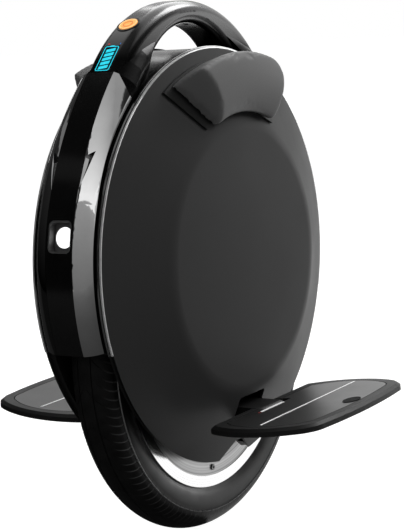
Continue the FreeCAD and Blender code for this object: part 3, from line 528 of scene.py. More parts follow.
@dataclass(frozen=True)
class Finish:
    """Surface with a grain that varies its colour, its gloss and its height."""

    name: str
    dark: float | Colour
    light: float | Colour
    rough: Pair
    grain: Grain = Grain.CLOUD
    scale: float = 400.0
    depth: float = 0.0001
    strength: float = 0.15
    metal: float = 0.0
    specular: float = 0.5
    coat: float = 0.0
    glow: float = 0.0
    fade: tuple[float, float, float] | None = None
    coat_rough: ClassVar[float] = 0.05
    sand_detail: ClassVar[float] = 8.0
    brush_stretch: ClassVar[Colour] = (1.0, 0.04, 1.0)
    slow_noise: ClassVar[Pair] = (12.0, 4.0)

    def pattern(self, nodes: Nodes) -> Socket:
        """Adds the grain.

        Args:
            nodes: Tree of the material.

        Returns:
            Value of the grain over the surface.
        """
        if self.grain is Grain.PEBBLE:
            return nodes.cells(nodes.place(), self.scale)
        if self.grain is Grain.RINGS:
            return nodes.rings(self.scale)
        if self.grain is Grain.BRUSH:
            return nodes.noise(nodes.place(scale=self.brush_stretch), self.scale)
        if self.grain is Grain.SAND:
            return nodes.noise(nodes.place(), self.scale, self.sand_detail)
        return nodes.noise(nodes.place(), self.scale)

    def material(self) -> bpy.types.Material:
        """Builds the finish.

        Returns:
            Its material.
        """
        nodes = Nodes(bpy.data.materials.new(self.name))
        value = self.pattern(nodes)
        slow = nodes.noise(nodes.place(), *self.slow_noise)
        colour = nodes.blend(value, shade(self.dark), shade(self.light))
        specular = self.specular
        if self.fade:
            low, high, least = self.fade
            height = nodes.length(nodes.place(scale=(0.0, 0.0, 1.0)))
            specular = nodes.span(height, least, self.specular, low, high)
        nodes.set(Base_Color=colour, Roughness=nodes.span(slow, *self.rough), Metallic=self.metal,
                  Specular_IOR_Level=specular, Coat_Weight=self.coat, Coat_Roughness=self.coat_rough,
                  Normal=nodes.bump(value, self.depth, self.strength))
        if self.glow:
            nodes.set(Emission_Color=colour, Emission_Strength=self.glow)
        return nodes.owner


@dataclass(frozen=True)
class TyreRubber:
    """Black rubber, smooth on the sidewall, with a painted highlight: paler where the mesh marks the rib and
    the edges of the cuts.
    """

    name: str = "tyre_rubber"
    black: float = 16
    dusty: float = 25
    # Pale grey painted on the rib and cut edges as a painted highlight, in place of the gloss on the rib.
    painted_highlight: float = 118
    wall: Pair = (0.163, 0.182)
    rough: Pair = (0.3, 0.45)
    rough_spread: float = 0.1
    specular: Pair = (0.55, 0.14)
    cloud: Pair = (90.0, 6.0)
    fine: Pair = (1400.0, 4.0)
    grain_depth: float = 0.0001
    grain_strength: float = 0.2

    def material(self) -> bpy.types.Material:
        """Builds the finish.

        Returns:
            Its material.
        """
        nodes = Nodes(bpy.data.materials.new(self.name))
        cloud = nodes.noise(nodes.place(), *self.cloud)
        fine = nodes.noise(nodes.place(), *self.fine)
        rubber = nodes.blend(cloud, shade(self.black), shade(self.dusty))
        # Mask of the painted highlight on the rib and cut edges, read from the mesh.
        edge = nodes.add("Attribute", "Fac", {}, attribute_name="painted_highlight")
        inputs = {"Factor": edge, "A": rubber, "B": (*shade(self.painted_highlight), 1.0)}
        radius = nodes.radius()
        parts = (nodes.span(cloud, 0.0, self.rough_spread), nodes.span(radius, *self.rough, *self.wall))
        nodes.set(Base_Color=nodes.add("Mix", "Result", inputs, data_type="RGBA"),
                  Roughness=nodes.add("Math", "Value", dict(enumerate(parts)), operation="ADD"),
                  Specular_IOR_Level=nodes.span(radius, *self.specular, *self.wall),
                  Normal=nodes.bump(fine, self.grain_depth, self.grain_strength))
        return nodes.owner


FINISHES = (
    TyreRubber(),
    Finish("tube_rubber", 16, 28, (0.5, 0.7), Grain.CLOUD, 200.0),
    Finish("polished_rim", 226, 246, (0.1, 0.2), Grain.RINGS, 1500.0, 0.00002, 0.1, 1.0),
    Finish("motor_cover", 124, 182, (0.28, 0.4), Grain.RINGS, 420.0, 0.0002, 0.3, 1.0),
    Finish("steel", 95, 140, (0.25, 0.4), Grain.RINGS, 1600.0, 0.00003, 0.2, 1.0),
    Finish("copper_coils", (150, 80, 40), (214, 130, 78), (0.25, 0.4), Grain.BRUSH, 900.0, 0.0003, 0.5, 1.0),
    Finish("hanger_metal", 26, 38, (0.4, 0.55), Grain.SAND, 900.0, 0.0001, 0.25, 0.6),
    Finish("frame_plastic", 10, 18, (0.45, 0.6), Grain.SAND, 1200.0, 0.00006, 0.25),
    Finish("black_gloss", 10, 14, (0.12, 0.18), Grain.CLOUD, 60.0, 0.00002, 0.02, specular=0.45),
    Finish("cheek_metal", 228, 240, (0.025, 0.05), Grain.CLOUD, 30.0, 0.00001, 0.01, 1.0),
    Finish("display_glass", 3, 9, (0.05, 0.1), Grain.PEBBLE, 2500.0, 0.00001, 0.03, coat=1.0),
    Finish("button_ring", 20, 34, (0.15, 0.25), Grain.RINGS, 1200.0, 0.00002, 0.1, 1.0),
    Finish("button_glow", (236, 156, 70), (250, 182, 98), (0.3, 0.45), Grain.CLOUD, 300.0, glow=0.65),
    Finish("reflector", 170, 214, (0.26, 0.36), Grain.RINGS, 900.0, 0.00005, 0.2, 1.0),
    Finish("lamp_white", 238, 252, (0.08, 0.16), Grain.PEBBLE, 500.0, 0.0001, 0.15, glow=1.3),
    Finish("lamp_red", (96, 4, 6), (176, 14, 18), (0.08, 0.16), Grain.PEBBLE, 600.0, 0.0003, 0.35, coat=0.6),
    Finish("socket_plastic", 14, 26, (0.35, 0.5), Grain.SAND, 1500.0),
    Finish("cap_rubber", 18, 30, (0.5, 0.65), Grain.SAND, 1800.0, 0.0001, 0.25),
    Finish("cover_satin", 49, 54, (0.4, 0.48), Grain.SAND, 2200.0, 0.00004, 0.15, specular=0.08),
    Finish("bright_trim", 150, 190, (0.12, 0.2), Grain.BRUSH, 1500.0, 0.00002, 0.1, 1.0),
    Finish("light_ring", 226, 246, (0.15, 0.25), Grain.CLOUD, 200.0, 0.00002, 0.05, 0.6),
    # Dark enough that the flange under the pad reads as a shadow line: partly its own dark colour, partly
    # painted shade.
    Finish("pad_base", 20, 27, (0.45, 0.6), Grain.SAND, 1500.0, specular=0.25),
    Finish("pad_rubber", 85, 95, (0.48, 0.6), Grain.SAND, 2600.0, 0.00006, 0.25, specular=0.38),
    Finish("pedal_metal", 20, 28, (0.46, 0.56), Grain.SAND, 1400.0, 0.00005, 0.2, specular=0.25),
    Finish("grip_rubber", 30, 40, (0.28, 0.36), Grain.SAND, 2400.0, 0.00004, 0.15, specular=0.5),
    Finish("battery_wrap", (22, 54, 110), (30, 70, 140), (0.3, 0.45), Grain.CLOUD, 120.0),
    Finish("sink_metal", 140, 172, (0.3, 0.45), Grain.BRUSH, 1200.0, 0.00005, 0.2, 1.0),
    Finish("board", (10, 66, 36), (18, 92, 50), (0.3, 0.45), Grain.PEBBLE, 500.0),
)

NODE_FINISHES = {"handle": "handle_black", "outer_band": "deck_black", "headlight_housing": "lamp_frame"}

TRIM_FINISHES = (
    Finish("handle_black", 4, 8, (0.2, 0.25), Grain.CLOUD, 60.0, 0.00001, 0.02, specular=1.0,
           fade=(0.512, 0.548, 0.05)),
    Finish("deck_black", 4, 8, (0.2, 0.25), Grain.CLOUD, 60.0, 0.00001, 0.02, specular=0.14),
    Finish("lamp_frame", 62, 84, (0.3, 0.4), Grain.SAND, 1500.0, 0.00003, 0.1),
    Finish("icon_cyan", (22, 190, 214), (40, 222, 240), (0.3, 0.4), Grain.CLOUD, 900.0, glow=0.8),
    Finish("icon_red", (190, 20, 26), (226, 40, 44), (0.3, 0.4), Grain.CLOUD, 900.0, glow=0.6),
    Finish("icon_blue", (16, 96, 190), (34, 130, 226), (0.3, 0.4), Grain.CLOUD, 900.0, glow=0.6),
    Finish("button_peach", (244, 190, 120), (252, 208, 150), (0.3, 0.4), Grain.CLOUD, 500.0, glow=0.6),
    Finish("button_amber", (206, 120, 40), (226, 140, 54), (0.3, 0.4), Grain.CLOUD, 500.0, glow=0.4),
    # Painted glow: the white lines give off a little light, though they are no lamp, so they stay white in
    # shade.
    Finish("line_white_painted_glow", 228, 246, (0.4, 0.5), Grain.SAND, 1500.0, glow=0.2),
    Finish("line_red", (86, 18, 18), (116, 26, 24), (0.4, 0.5), Grain.SAND, 1500.0),
    Finish("recess_black", 10, 16, (0.6, 0.75), Grain.SAND, 1500.0, specular=0.08),
)


class Paint:
    """Every finish of the machine, made once and handed out by name."""

    def __init__(self) -> None:
        """Makes the materials."""
        self.materials = {finish.name: finish.material() for finish in FINISHES + TRIM_FINISHES}

    def fit(self, piece: Piece, finish: str, body: str, slot: str, *nodes: str) -> None:
        """Coats a piece, rides it on its body, and hides the nodes that it stands for.

        Args:
            piece: Finished piece.
            finish: Finish all over it.
            body: Body that it moves with.
            slot: Material slot; not used.
            *nodes: Nodes that it replaces.
        """
        piece.data.materials.clear()
        piece.data.materials.append(self.materials[finish])
        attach(piece, body)
        if nodes:
            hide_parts(*nodes)
        log.info("%s on %s, %d faces", piece.name, body, len(piece.data.polygons))

    def dress_nodes(self) -> None:
        """Gives every node of the frame the finish of its slot."""
        for name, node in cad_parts.items():
            for place in node.material_slots:
                finish = NODE_FINISHES.get(name, place.material.name.split(".")[0])
                place.material = self.materials[finish]


# The wheel


@dataclass
class Tyre:
    """Road tyre with a rib at each shoulder and slanted cuts across the tread."""

    crown_radius: float = 0.204
    shoulder_radius: float = 0.184
    bead_radius: float = 0.1586
    seat_radius: float = 0.1541
    half_width: float = 0.026
    bead_half: float = 0.0199
    throat_half: float = 0.009
    throat_step: float = 0.003
    wall: float = 0.005
    wall_steps: int = 7
    lining: tuple[Pair, ...] = ((0.0185, 0.168), (0.0205, 0.1788), (0.0175, 0.1895))
    lining_half: float = 0.0105
    lining_drop: float = 0.0026
    bulge: float = 0.0034
    bulge_lean: float = 0.7
    rib_edge: float = 0.0005
    rib_foot: float = 0.0012
    rib_offsets: tuple[Pair, ...] = (
        (-0.0001, -0.0012), (0.0003, -0.0006), (0.0003, 0.0), (-0.0003, 0.0005), (-0.0009, 0.0004))
    rib_band: Pair = (-0.0007, 0.0006)
    shoulder_places: tuple[float, ...] = (
        0.0245, 0.0235, 0.022, 0.02, 0.018, 0.0165, 0.0155, 0.0135, 0.012, 0.0105, 0.0095)
    middle_places: tuple[float, ...] = (0.0055, 0.0037, 0.0022, 0.0012)
    groove_place: float = 0.0078
    groove_shares: tuple[float, ...] = (1.0, 0.8, -0.8, -1.0)
    groove_floor_share: float = 0.9
    groove_half: float = 0.0005
    groove_depth: float = 0.0012
    cut_depth: float = 0.0012
    cut_angles: tuple[float, ...] = (0.0, 0.14, 0.21, 0.31, 0.38, 0.52)
    cut_starts: tuple[float, ...] = (0.5, 3.3, 6.125, 8.925)
    cut_ends: tuple[float, ...] = (0.0022, 0.0165, 0.0135, 0.0165)
    cut_foot: float = 0.0008
    cut_snap: float = 0.02
    cut_least: float = 0.001
    repeats: int = 32
    # Where the painted highlight on the cut edges starts, and how strong it gets at the shoulder.
    painted_highlight_start: float = 0.016
    painted_highlight_most: float = 0.6
    slant: float = 4.0
    slant_reach: float = 0.016
    slant_power: float = 1.4
    smooth_angle: float = 50.0

    def crown(self, across: float) -> float:
        """Measures the round of the tread.

        Args:
            across: Distance from the middle line.

        Returns:
            Radius of the tread there.
        """
        drop = self.crown_radius - self.shoulder_radius
        ball = (self.half_width ** 2 + drop ** 2) / (2 * drop)
        return self.crown_radius - ball + math.sqrt(ball ** 2 - across ** 2)

    def wall_line(self) -> list[Pair]:
        """Draws the sidewall from the bead to the rib.

        Returns:
            Pairs across and out.
        """
        line = []
        for step in range(self.wall_steps):
            share = step / self.wall_steps
            out = self.bead_radius + (self.shoulder_radius - self.rib_foot - self.bead_radius) * share
            across = self.bead_half + (self.half_width - self.bead_half) * share
            lean = share ** self.bulge_lean
            line.append((across + self.bulge * 4 * lean * (1 - lean), out))
        return line

    def rib_line(self) -> list[Pair]:
        """Pairs across and out, over the rib at the shoulder."""
        return [(self.half_width + across, self.shoulder_radius + out) for across, out in self.rib_offsets]

    def tread_line(self) -> list[Pair]:
        """Draws the tread from the rib to the middle line.

        Returns:
            Pairs across and out.
        """
        lips = [self.groove_place + self.groove_half * share for share in self.groove_shares]
        line = []
        for across in (*self.shoulder_places, *lips, *self.middle_places):
            inside = abs(across - self.groove_place) < self.groove_half * self.groove_floor_share
            line.append((across, self.crown(across) - (self.groove_depth if inside else 0.0)))
        return line

    def inner_line(self) -> list[Pair]:
        """Draws the inside from the bead to the middle line.

        Returns:
            Pairs across and out.
        """
        crown = self.crown_radius - self.wall
        return [(self.bead_half, self.seat_radius), (self.throat_half, self.seat_radius),
                (self.throat_half, self.bead_radius + self.throat_step), *self.lining,
                (self.lining_half, crown - self.lining_drop), (0.0, crown)]

    def slant_at(self, across: float) -> float:
        """Degrees that the cuts have run on by, at a distance from the middle line."""
        share = max(0.0, self.half_width - abs(across)) / self.slant_reach
        return self.slant * share ** self.slant_power

    def point(self, across: float, out: float, angle: float) -> Vector:
        """Point of the tyre at an angle round the axle, from its lowest point to the front."""
        turn = math.radians(angle)
        return AXLE + Vector((across, -out * math.sin(turn), -out * math.cos(turn)))

    def angle_of(self, place: Vector) -> float:
        """Angle of a point round the axle, less the slant there."""
        way = place - AXLE
        return math.degrees(math.atan2(-way.y, -way.z)) - self.slant_at(way.x)

    def profile(self) -> list[Vector]:
        """Draws the closed section, run on by the slant of the cuts.

        Returns:
            Points of the section.
        """
        half = self.wall_line() + self.rib_line() + self.tread_line()
        outer = half + [(0.0, self.crown(0.0))] + [(-across, out) for across, out in reversed(half)]
        inner = self.inner_line()
        under = [(-across, out) for across, out in inner] + list(reversed(inner[:-1]))
        return [self.point(across, out, self.slant_at(across)) for across, out in outer + under]

    def pitch(self) -> float:
        """Degrees from one repeat of the tread to the next."""
        return 360 / self.repeats

    def stops(self) -> list[float]:
        """Places the mesh's columns in one repeat.

        Returns:
            Their angles in degrees.
        """
        stops = [start + angle for start in self.cut_starts for angle in self.cut_angles]
        ends = list(self.cut_starts[1:]) + [self.pitch()]
        for start, end in zip(self.cut_starts, ends):
            stops.append((start + self.cut_angles[-1] + end) / 2)
        return [0.0] + sorted(stops) + [self.pitch()]

    def in_cut(self, place: Vector, floor: bool) -> float:
        """How far a point is inside a cut: 0 outside, 1 at the shoulder.

        Args:
            place: Point of the tread.
            floor: Whether to look for the cut's floor, or for its two edges.

        Returns:
            Share of the way from the cut's inner end to the shoulder.
        """
        way = place - AXLE
        out = math.hypot(way.y, way.z)
        if out < self.shoulder_radius - self.cut_foot:
            return 0.0
        angle = self.angle_of(place) % self.pitch()
        wanted = self.cut_angles[2:4] if floor else (self.cut_angles[1], self.cut_angles[4])
        across = abs(way.x)
        for start, end in zip(self.cut_starts, self.cut_ends):
            near = min(abs(angle - start - stop) for stop in wanted)
            if near < self.cut_snap and across > end - MERGE:
                return (across - end) / (self.half_width - end) + self.cut_least
        return 0.0

    def press_cuts(self, piece: Piece) -> None:
        """Presses the floors of the cuts into one repeat of the tread.

        Args:
            piece: The repeat, in edit mode.
        """
        count = choose(piece, Kind.VERT, lambda at, _: self.in_cut(at, True) > 0)
        share = 1 - self.cut_depth / self.crown_radius
        bpy.ops.transform.resize(value=(1.0, share, share), center_override=AXLE)
        log.info("tread cuts: %d corners pressed", count)

    def mark_painted_highlight(self, piece: Piece) -> None:
        """Marks the rib and the edges of the cuts for the painted highlight.

        Args:
            piece: The whole tyre.
        """
        # Painted highlight: full on the rib, growing along the cut edges towards the shoulder.
        layer = piece.data.attributes.new("painted_highlight", "FLOAT", "POINT")
        rib_low, rib_high = (self.shoulder_radius + edge for edge in self.rib_band)
        for corner, value in zip(piece.data.vertices, layer.data):
            way = corner.co - AXLE
            out = math.hypot(way.y, way.z)
            if abs(way.x) > self.half_width - self.rib_edge and rib_low < out < rib_high:
                value.value = 1.0
            elif self.in_cut(corner.co, False) > 0:
                run = (abs(way.x) - self.painted_highlight_start) / (self.half_width - self.painted_highlight_start)
                value.value = self.painted_highlight_most * max(0.0, run)

    def build(self, paint: Paint) -> None:
        """Models one repeat, spins copies of it round the axle and fits the tyre.

        Args:
            paint: Finishes of the machine.
        """
        stops = self.stops()
        piece = draw_line("tyre_tread", self.profile())
        with editing(piece):
            pick_all()
            for here, there in zip(stops, stops[1:]):
                bpy.ops.mesh.spin(steps=1, angle=math.radians(there - here), center=AXLE, axis=X_AXIS)
            self.press_cuts(piece)
            pick_all()
            turn = math.radians(self.pitch())
            copies = self.repeats - 1
            bpy.ops.mesh.spin(steps=copies, angle=turn * copies, center=AXLE, axis=X_AXIS, dupli=True)
            close_up()
        self.mark_painted_highlight(piece)
        smooth(piece, self.smooth_angle)
        paint.fit(piece, "tyre_rubber", "wheel", "tyre_rubber", "tyre")


@dataclass
class MotorScrews:
    """Socket screws round both motor covers."""

    ring_radius: float = 0.1385
    seat: float = 0.0217
    head_radius: float = 0.0032
    head_height: float = 0.0016
    socket_radius: float = 0.0017
    socket_depth: float = 0.0011
    round_over: float = 0.0003
    head_sides: int = 28
    socket_sides: int = 6
    count: int = 6
    turn: float = 53.8

    def rod(self, name: str, sides: int, radius: float, depth: float, middle: float) -> Piece:
        """Cylinder along X, with its middle at a place on the axis."""
        return begin(Start.CYLINDER, name, vertices=sides, radius=radius, depth=depth,
                     location=(middle, 0.0, 0.0), rotation=(0.0, math.pi / 2, 0.0))

    def head(self) -> Piece:
        """Models one head at the origin, facing +X.

        Returns:
            The head.
        """
        height = self.head_height
        head = self.rod("motor_screw", self.head_sides, self.head_radius, height, height / 2)
        settle(head, head.matrix_world.copy())
        cut(head, self.rod("socket", self.socket_sides, self.socket_radius, self.socket_depth * 2, height))
        soften(head, self.round_over)
        smooth(head)
        return head

    def build(self, paint: Paint) -> None:
        """Copies the head round both covers and fits the screws.

        Args:
            paint: Finishes of the machine.
        """
        head = self.head()
        heads = []
        for side in Side:
            for step in range(self.count):
                turn = Matrix.Rotation(math.radians(self.turn + 360 * step / self.count), 4, "X")
                seat = Matrix.Translation((self.seat, 0.0, self.ring_radius))
                place = Matrix.Translation(AXLE) @ turn @ seat
                heads.append(copy_of(head, f"screw_{side.word}_{step}", side.flip @ place))
        bpy.data.objects.remove(head)
        piece = joined(heads, "motor_screw_heads")
        paint.fit(piece, "steel", "wheel", "steel", "motor_cover_screws")


# The shell


@dataclass
class SideCover:
    """Satin side cover with a soft crease between its slope and its crown."""

    side: Side
    face: float = 0.041
    radius: float = 0.219
    crease_radius: float = 0.14
    slope_rise: float = 0.032
    crown_rise: float = 0.003
    wall: float = 0.003
    blend_half: float = 0.007
    edge_round: float = 0.0012
    steps: int = 144
    slot_half: float = 0.026
    slot_low: float = 0.112
    slot_high: float = 0.148
    slot_corner: float = 0.004
    notch_low: float = 0.076
    notch_depth: float = 0.02
    notch_half: float = 0.034
    notch_top_half: float = 0.008
    notch_overrun: float = 0.006
    notch_start: float = 0.033
    slot_start: float = 0.036
    cut_reach: float = 0.06
    crown_steps: int = 24
    blend_steps: int = 4
    blend_span: int = 5
    clear_share: float = 1.5
    lip: float = 0.0001
    lip_shares: Pair = (0.25, 0.6)
    flange_walls: float = 2.4
    flange_gap: float = 0.002
    smooth_angle: float = 30.0

    def height(self, out: float) -> float:
        """Measures the outer face.

        Args:
            out: Distance from the middle.

        Returns:
            X of the face there.
        """
        crease = self.face + self.slope_rise
        slope = self.slope_rise / (self.radius - self.crease_radius)
        cone = crease - (out - self.crease_radius) * slope
        ball = (self.crease_radius ** 2 + self.crown_rise ** 2) / (2 * self.crown_rise)
        cap = crease + self.crown_rise - ball + math.sqrt(ball ** 2 - min(out, self.crease_radius) ** 2)
        start = self.crease_radius - self.blend_half
        if out <= start:
            return cap
        if out >= self.crease_radius + self.blend_half:
            return cone
        run = 2 * self.blend_half
        share = (out - start) / run
        square, cube = share ** 2, share ** 3
        low = crease + self.crown_rise - ball + math.sqrt(ball ** 2 - start ** 2)
        high = crease - self.blend_half * slope
        low_slope = -start / math.sqrt(ball ** 2 - start ** 2) * run
        high_slope = -slope * run
        return ((2 * cube - 3 * square + 1) * low + (cube - 2 * square + share) * low_slope
                + (3 * square - 2 * cube) * high + (cube - square) * high_slope)

    def profile(self) -> list[Vector]:
        """Draws the closed section from the middle out to the edge and back inside.

        Returns:
            Points of the section.
        """
        steps = range(-self.blend_span, self.blend_span + 1)
        near = [self.crease_radius + self.blend_half * step / self.blend_steps for step in steps]
        outs = sorted(near + [self.radius * step / self.crown_steps for step in range(self.crown_steps)])
        clear = self.clear_share * self.blend_half
        outs = [out for out in outs if out in near or abs(out - self.crease_radius) > clear]
        edge = self.edge_round
        first, last = self.lip_shares
        outer = [(self.height(out), out) for out in outs]
        outer += [(self.height(self.radius - edge), self.radius - edge),
                  (self.face + self.lip, self.radius - edge * first), (self.face, self.radius - edge * last)]
        flange = self.radius - self.wall * self.flange_walls
        inside = [out for out in reversed(outs) if out < flange - self.flange_gap]
        inner = [(self.face, flange), *((self.height(out) - self.wall, out) for out in inside)]
        return [BODY + Vector((across, 0.0, out)) for across, out in outer + inner]

    def slot(self) -> Piece:
        """Makes the cutter for the hanger's slot.

        Returns:
            The cutter.
        """
        middle = (self.slot_low + self.slot_high) / 2
        half_high = (self.slot_high - self.slot_low) / 2
        outline = rounded(self.slot_half, half_high, self.slot_corner)
        corners = [Vector((self.slot_start, y, middle + z)) for y, z in outline]
        return plate("slot_cutter", corners, X_AXIS * self.cut_reach)

    def notch(self) -> Piece:
        """Makes the cutter for the notch over the wheel's foot.

        Returns:
            The cutter.
        """
        low, high = self.notch_low - self.notch_overrun, self.notch_low + self.notch_depth
        lean = (self.notch_half - self.notch_top_half) / self.notch_depth
        spread = self.notch_half + lean * self.notch_overrun
        places = ((-spread, low), (spread, low), (self.notch_top_half, high), (-self.notch_top_half, high))
        corners = [Vector((self.notch_start, y, z)) for y, z in places]
        return plate("notch_cutter", corners, X_AXIS * self.cut_reach)

    def build(self, paint: Paint) -> None:
        """Spins the shell, cuts it and fits it.

        Args:
            paint: Finishes of the machine.
        """
        piece = draw_line(f"{self.side.word}_shell", self.profile())
        with editing(piece):
            pick_all()
            bpy.ops.mesh.spin(steps=self.steps, angle=FULL_TURN, center=BODY, axis=X_AXIS)
            close_up()
        cut(piece, self.slot())
        cut(piece, self.notch())
        smooth(piece, self.smooth_angle)
        settle(piece, self.side.flip)
        paint.fit(piece, "cover_satin", "chassis", "cover_satin", f"{self.side.word}_cover")


@dataclass
class LegPad:
    """Foam leg pad, swollen a little inside its rubber skin."""

    side: Side
    inset: float = 0.0008
    voxel: float = 0.0022
    pressure: float = 4.0
    frames: int = 20
    cap: float = 0.0012
    fill: float = 0.9
    base_round: float = 0.0009
    base_steps: int = 3
    base_angle: float = 50.0
    ease_factor: float = 0.5
    ease_steps: int = 3
    smooth_angle: float = 80.0

    def swell(self, piece: Piece) -> None:
        """Swells the pad by pressure, and holds each point near its start.

        Args:
            piece: The pad.
        """
        before = [corner.co.copy() for corner in piece.data.vertices]
        cloth = modifier(piece, "CLOTH")
        cloth.settings.use_pressure = True
        cloth.settings.uniform_pressure_force = self.pressure
        cloth.settings.effector_weights.gravity = 0.0
        cloth.point_cache.frame_start = 1
        cloth.point_cache.frame_end = self.frames
        for step in range(1, self.frames + 1):
            bpy.context.scene.frame_set(step)
        apply(piece, cloth)
        bpy.context.scene.frame_set(1)
        for corner, start in zip(piece.data.vertices, before):
            way = corner.co - start
            if way.length > self.cap:
                corner.co = start + way.normalized() * self.cap

    def build(self, paint: Paint) -> None:
        """Rounds the plate under the pad, takes the pad's form from its node, swells it and fits it.

        Args:
            paint: Finishes of the machine.
        """
        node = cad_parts[f"{self.side.word}_leg_pad"]
        name = f"{self.side.word}_pad"
        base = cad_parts[f"{self.side.word}_pad_base"]
        modifier(base, "BEVEL", **bevel(self.base_round, self.base_steps, self.base_angle))
        piece = link(rename(bpy.data.objects.new(name, node.data.copy()), name))
        with editing(piece):
            close_up()
            bpy.ops.transform.shrink_fatten(value=-self.inset)
        change(piece, "REMESH", mode="VOXEL", voxel_size=self.voxel)
        change(piece, "SMOOTH", factor=self.ease_factor, iterations=self.ease_steps)
        self.swell(piece)
        change(piece, "SUBSURF", levels=1, render_levels=1)
        smooth(piece, self.smooth_angle)
        paint.fit(piece, "pad_rubber", "chassis", "pad_rubber", node.name)


# Trim


@dataclass
class Patch:
    """Flat place on a node: its middle and the ways across it, up it and out of it."""

    middle: Vector
    across: Vector
    up: Vector
    out: Vector

    def at(self, across: float, up: float, out: float = 0.0) -> Vector:
        """Point of the patch."""
        return self.middle + self.across * across + self.up * up + self.out * out


def arch_patch(node: str, angle: float) -> Patch:
    """Patch on top of a node that sits on the handle's arch.

    Args:
        node: Node on the arch.
        angle: Degrees forwards from the arch's top.

    Returns:
        The patch.
    """
    turn = math.radians(angle)
    out = Vector((0.0, -math.sin(turn), math.cos(turn)))
    up = Vector((0.0, math.cos(turn), math.sin(turn)))
    corners = [corner.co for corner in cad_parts[node].data.vertices]
    low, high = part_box(node)
    level = max(corner.dot(out) for corner in corners)
    middle = (low + high) / 2
    return Patch(middle + out * (level - middle.dot(out)), X_AXIS, up, out)


def arch_drop(up: float, radius: float = 0.179) -> float:
    """How far the handle's arch falls away, at a distance up from where a patch touches it."""
    return radius - math.sqrt(radius ** 2 - up ** 2)


def sticker(name: str, patch: Patch, outline: Sequence[Pair], height: float) -> Piece:
    """Lays a thin plate on a patch, with its foot sunk a little.

    Args:
        name: Name of the piece.
        patch: Place that it lies on.
        outline: Corners in order.
        height: Height over the patch.

    Returns:
        The plate.
    """
    sink = height * SINK_SHARE
    corners = [patch.at(across, up, -sink) for across, up in outline]
    return plate(name, corners, patch.out * (height + sink))


def ring_plate(name: str, patch: Patch, outer: Sequence[Pair], inner: Sequence[Pair], height: float) -> Piece:
    """Frame between two outlines of as many corners, made by bridging them.

    Args:
        name: Name of the piece.
        patch: Place that it lies on.
        outer: Outer outline.
        inner: Inner outline.
        height: Height over the patch.

    Returns:
        The frame.
    """
    sink = height * SINK_SHARE
    lines = []
    for outline in (outer, inner):
        lines.append(draw_line(name, [patch.at(across, up, -sink) for across, up in outline]))
    piece = joined(lines, name)
    with editing(piece):
        pick_all()
        bpy.ops.mesh.bridge_edge_loops()
        pick_all()
        extrude(patch.out * (height + sink))
    return piece


@dataclass
class ChargeDisplay:
    """Battery sign on the display window, five bars in an outline with a tip, and two small lamps."""

    angle: float = 44.978
    half_wide: float = 0.0084
    half_high: float = 0.0162
    corner: float = 0.0022
    line: float = 0.0008
    height: float = 0.00018
    bars: int = 5
    bar_half: float = 0.0052
    bar_high: float = 0.0038
    bar_pitch: float = 0.0056
    bar_slant: float = 0.0022
    tip_half: float = 0.0034
    tip_high: float = 0.0012
    tip_taper: float = 0.7
    bar_shift: float = 0.0004
    dot_radius: float = 0.0012
    dot_steps: int = 20
    dot_place: Pair = (-0.006, 0.0192)
    bolt_place: Pair = (0.0078, 0.0192)
    bolt_shares: tuple[Pair, ...] = (
        (0.1, 1.3), (-0.8, -0.2), (-0.05, -0.2), (-0.3, -1.3), (0.8, 0.3), (0.05, 0.3))
    lamp_sink: float = 0.0016
    lamp_drop: float = 0.4

    def build(self, paint: Paint) -> None:
        """Models the outline, the bars and the two small lamps.

        Args:
            paint: Finishes of the machine.
        """
        patch = arch_patch("display_window", self.angle)
        outer = rounded(self.half_wide, self.half_high, self.corner)
        inner = rounded(self.half_wide - self.line, self.half_high - self.line, self.corner - self.line)
        parts = [ring_plate("charge_outline", patch, outer, inner, self.height)]
        top = self.half_high - self.line / 2
        taper = self.tip_half * self.tip_taper
        tip = [(-self.tip_half, top), (self.tip_half, top), (taper, top + self.tip_high),
               (-taper, top + self.tip_high)]
        parts.append(sticker("charge_tip", patch, tip, self.height))
        half, lean = self.bar_high / 2, self.bar_slant / 2
        bar = [(-self.bar_half, -half - lean), (self.bar_half, -half + lean), (self.bar_half, half + lean),
               (-self.bar_half, half - lean)]
        first = sticker("charge_bar", patch, bar, self.height)
        for step in range(self.bars):
            shift = (step - (self.bars - 1) / 2) * self.bar_pitch - self.bar_shift
            parts.append(copy_of(first, f"charge_bar_{step}", Matrix.Translation(patch.up * shift)))
        bpy.data.objects.remove(first)
        sign = joined(parts, "charge_sign")
        paint.fit(sign, "icon_cyan", "chassis", "display_glass")
        dot = ellipse(self.dot_radius, self.dot_radius, self.dot_steps)
        bolt = [(self.dot_radius * across, self.dot_radius * up) for across, up in self.bolt_shares]
        self.lamp("charge_dot", patch, self.dot_place, dot, paint, "icon_red")
        self.lamp("charge_bolt", patch, self.bolt_place, bolt, paint, "icon_blue")

    def lamp(self, name: str, patch: Patch, place: Pair, outline: Sequence[Pair], paint: Paint,
             finish: str) -> None:
        """Small lamp above the window, set into the handle's curve.

        Args:
            name: Name of the piece.
            patch: Patch of the window.
            place: Across and up from the window's middle.
            outline: Corners round the lamp's own middle.
            paint: Finishes.
            finish: Finish of the lamp.
        """
        foot = -arch_drop(place[1]) * self.lamp_drop - self.lamp_sink
        corners = [patch.at(place[0] + across, place[1] + up, foot) for across, up in outline]
        piece = plate(name, corners, patch.out * (self.lamp_sink + self.height))
        paint.fit(piece, finish, "chassis", "display_glass")


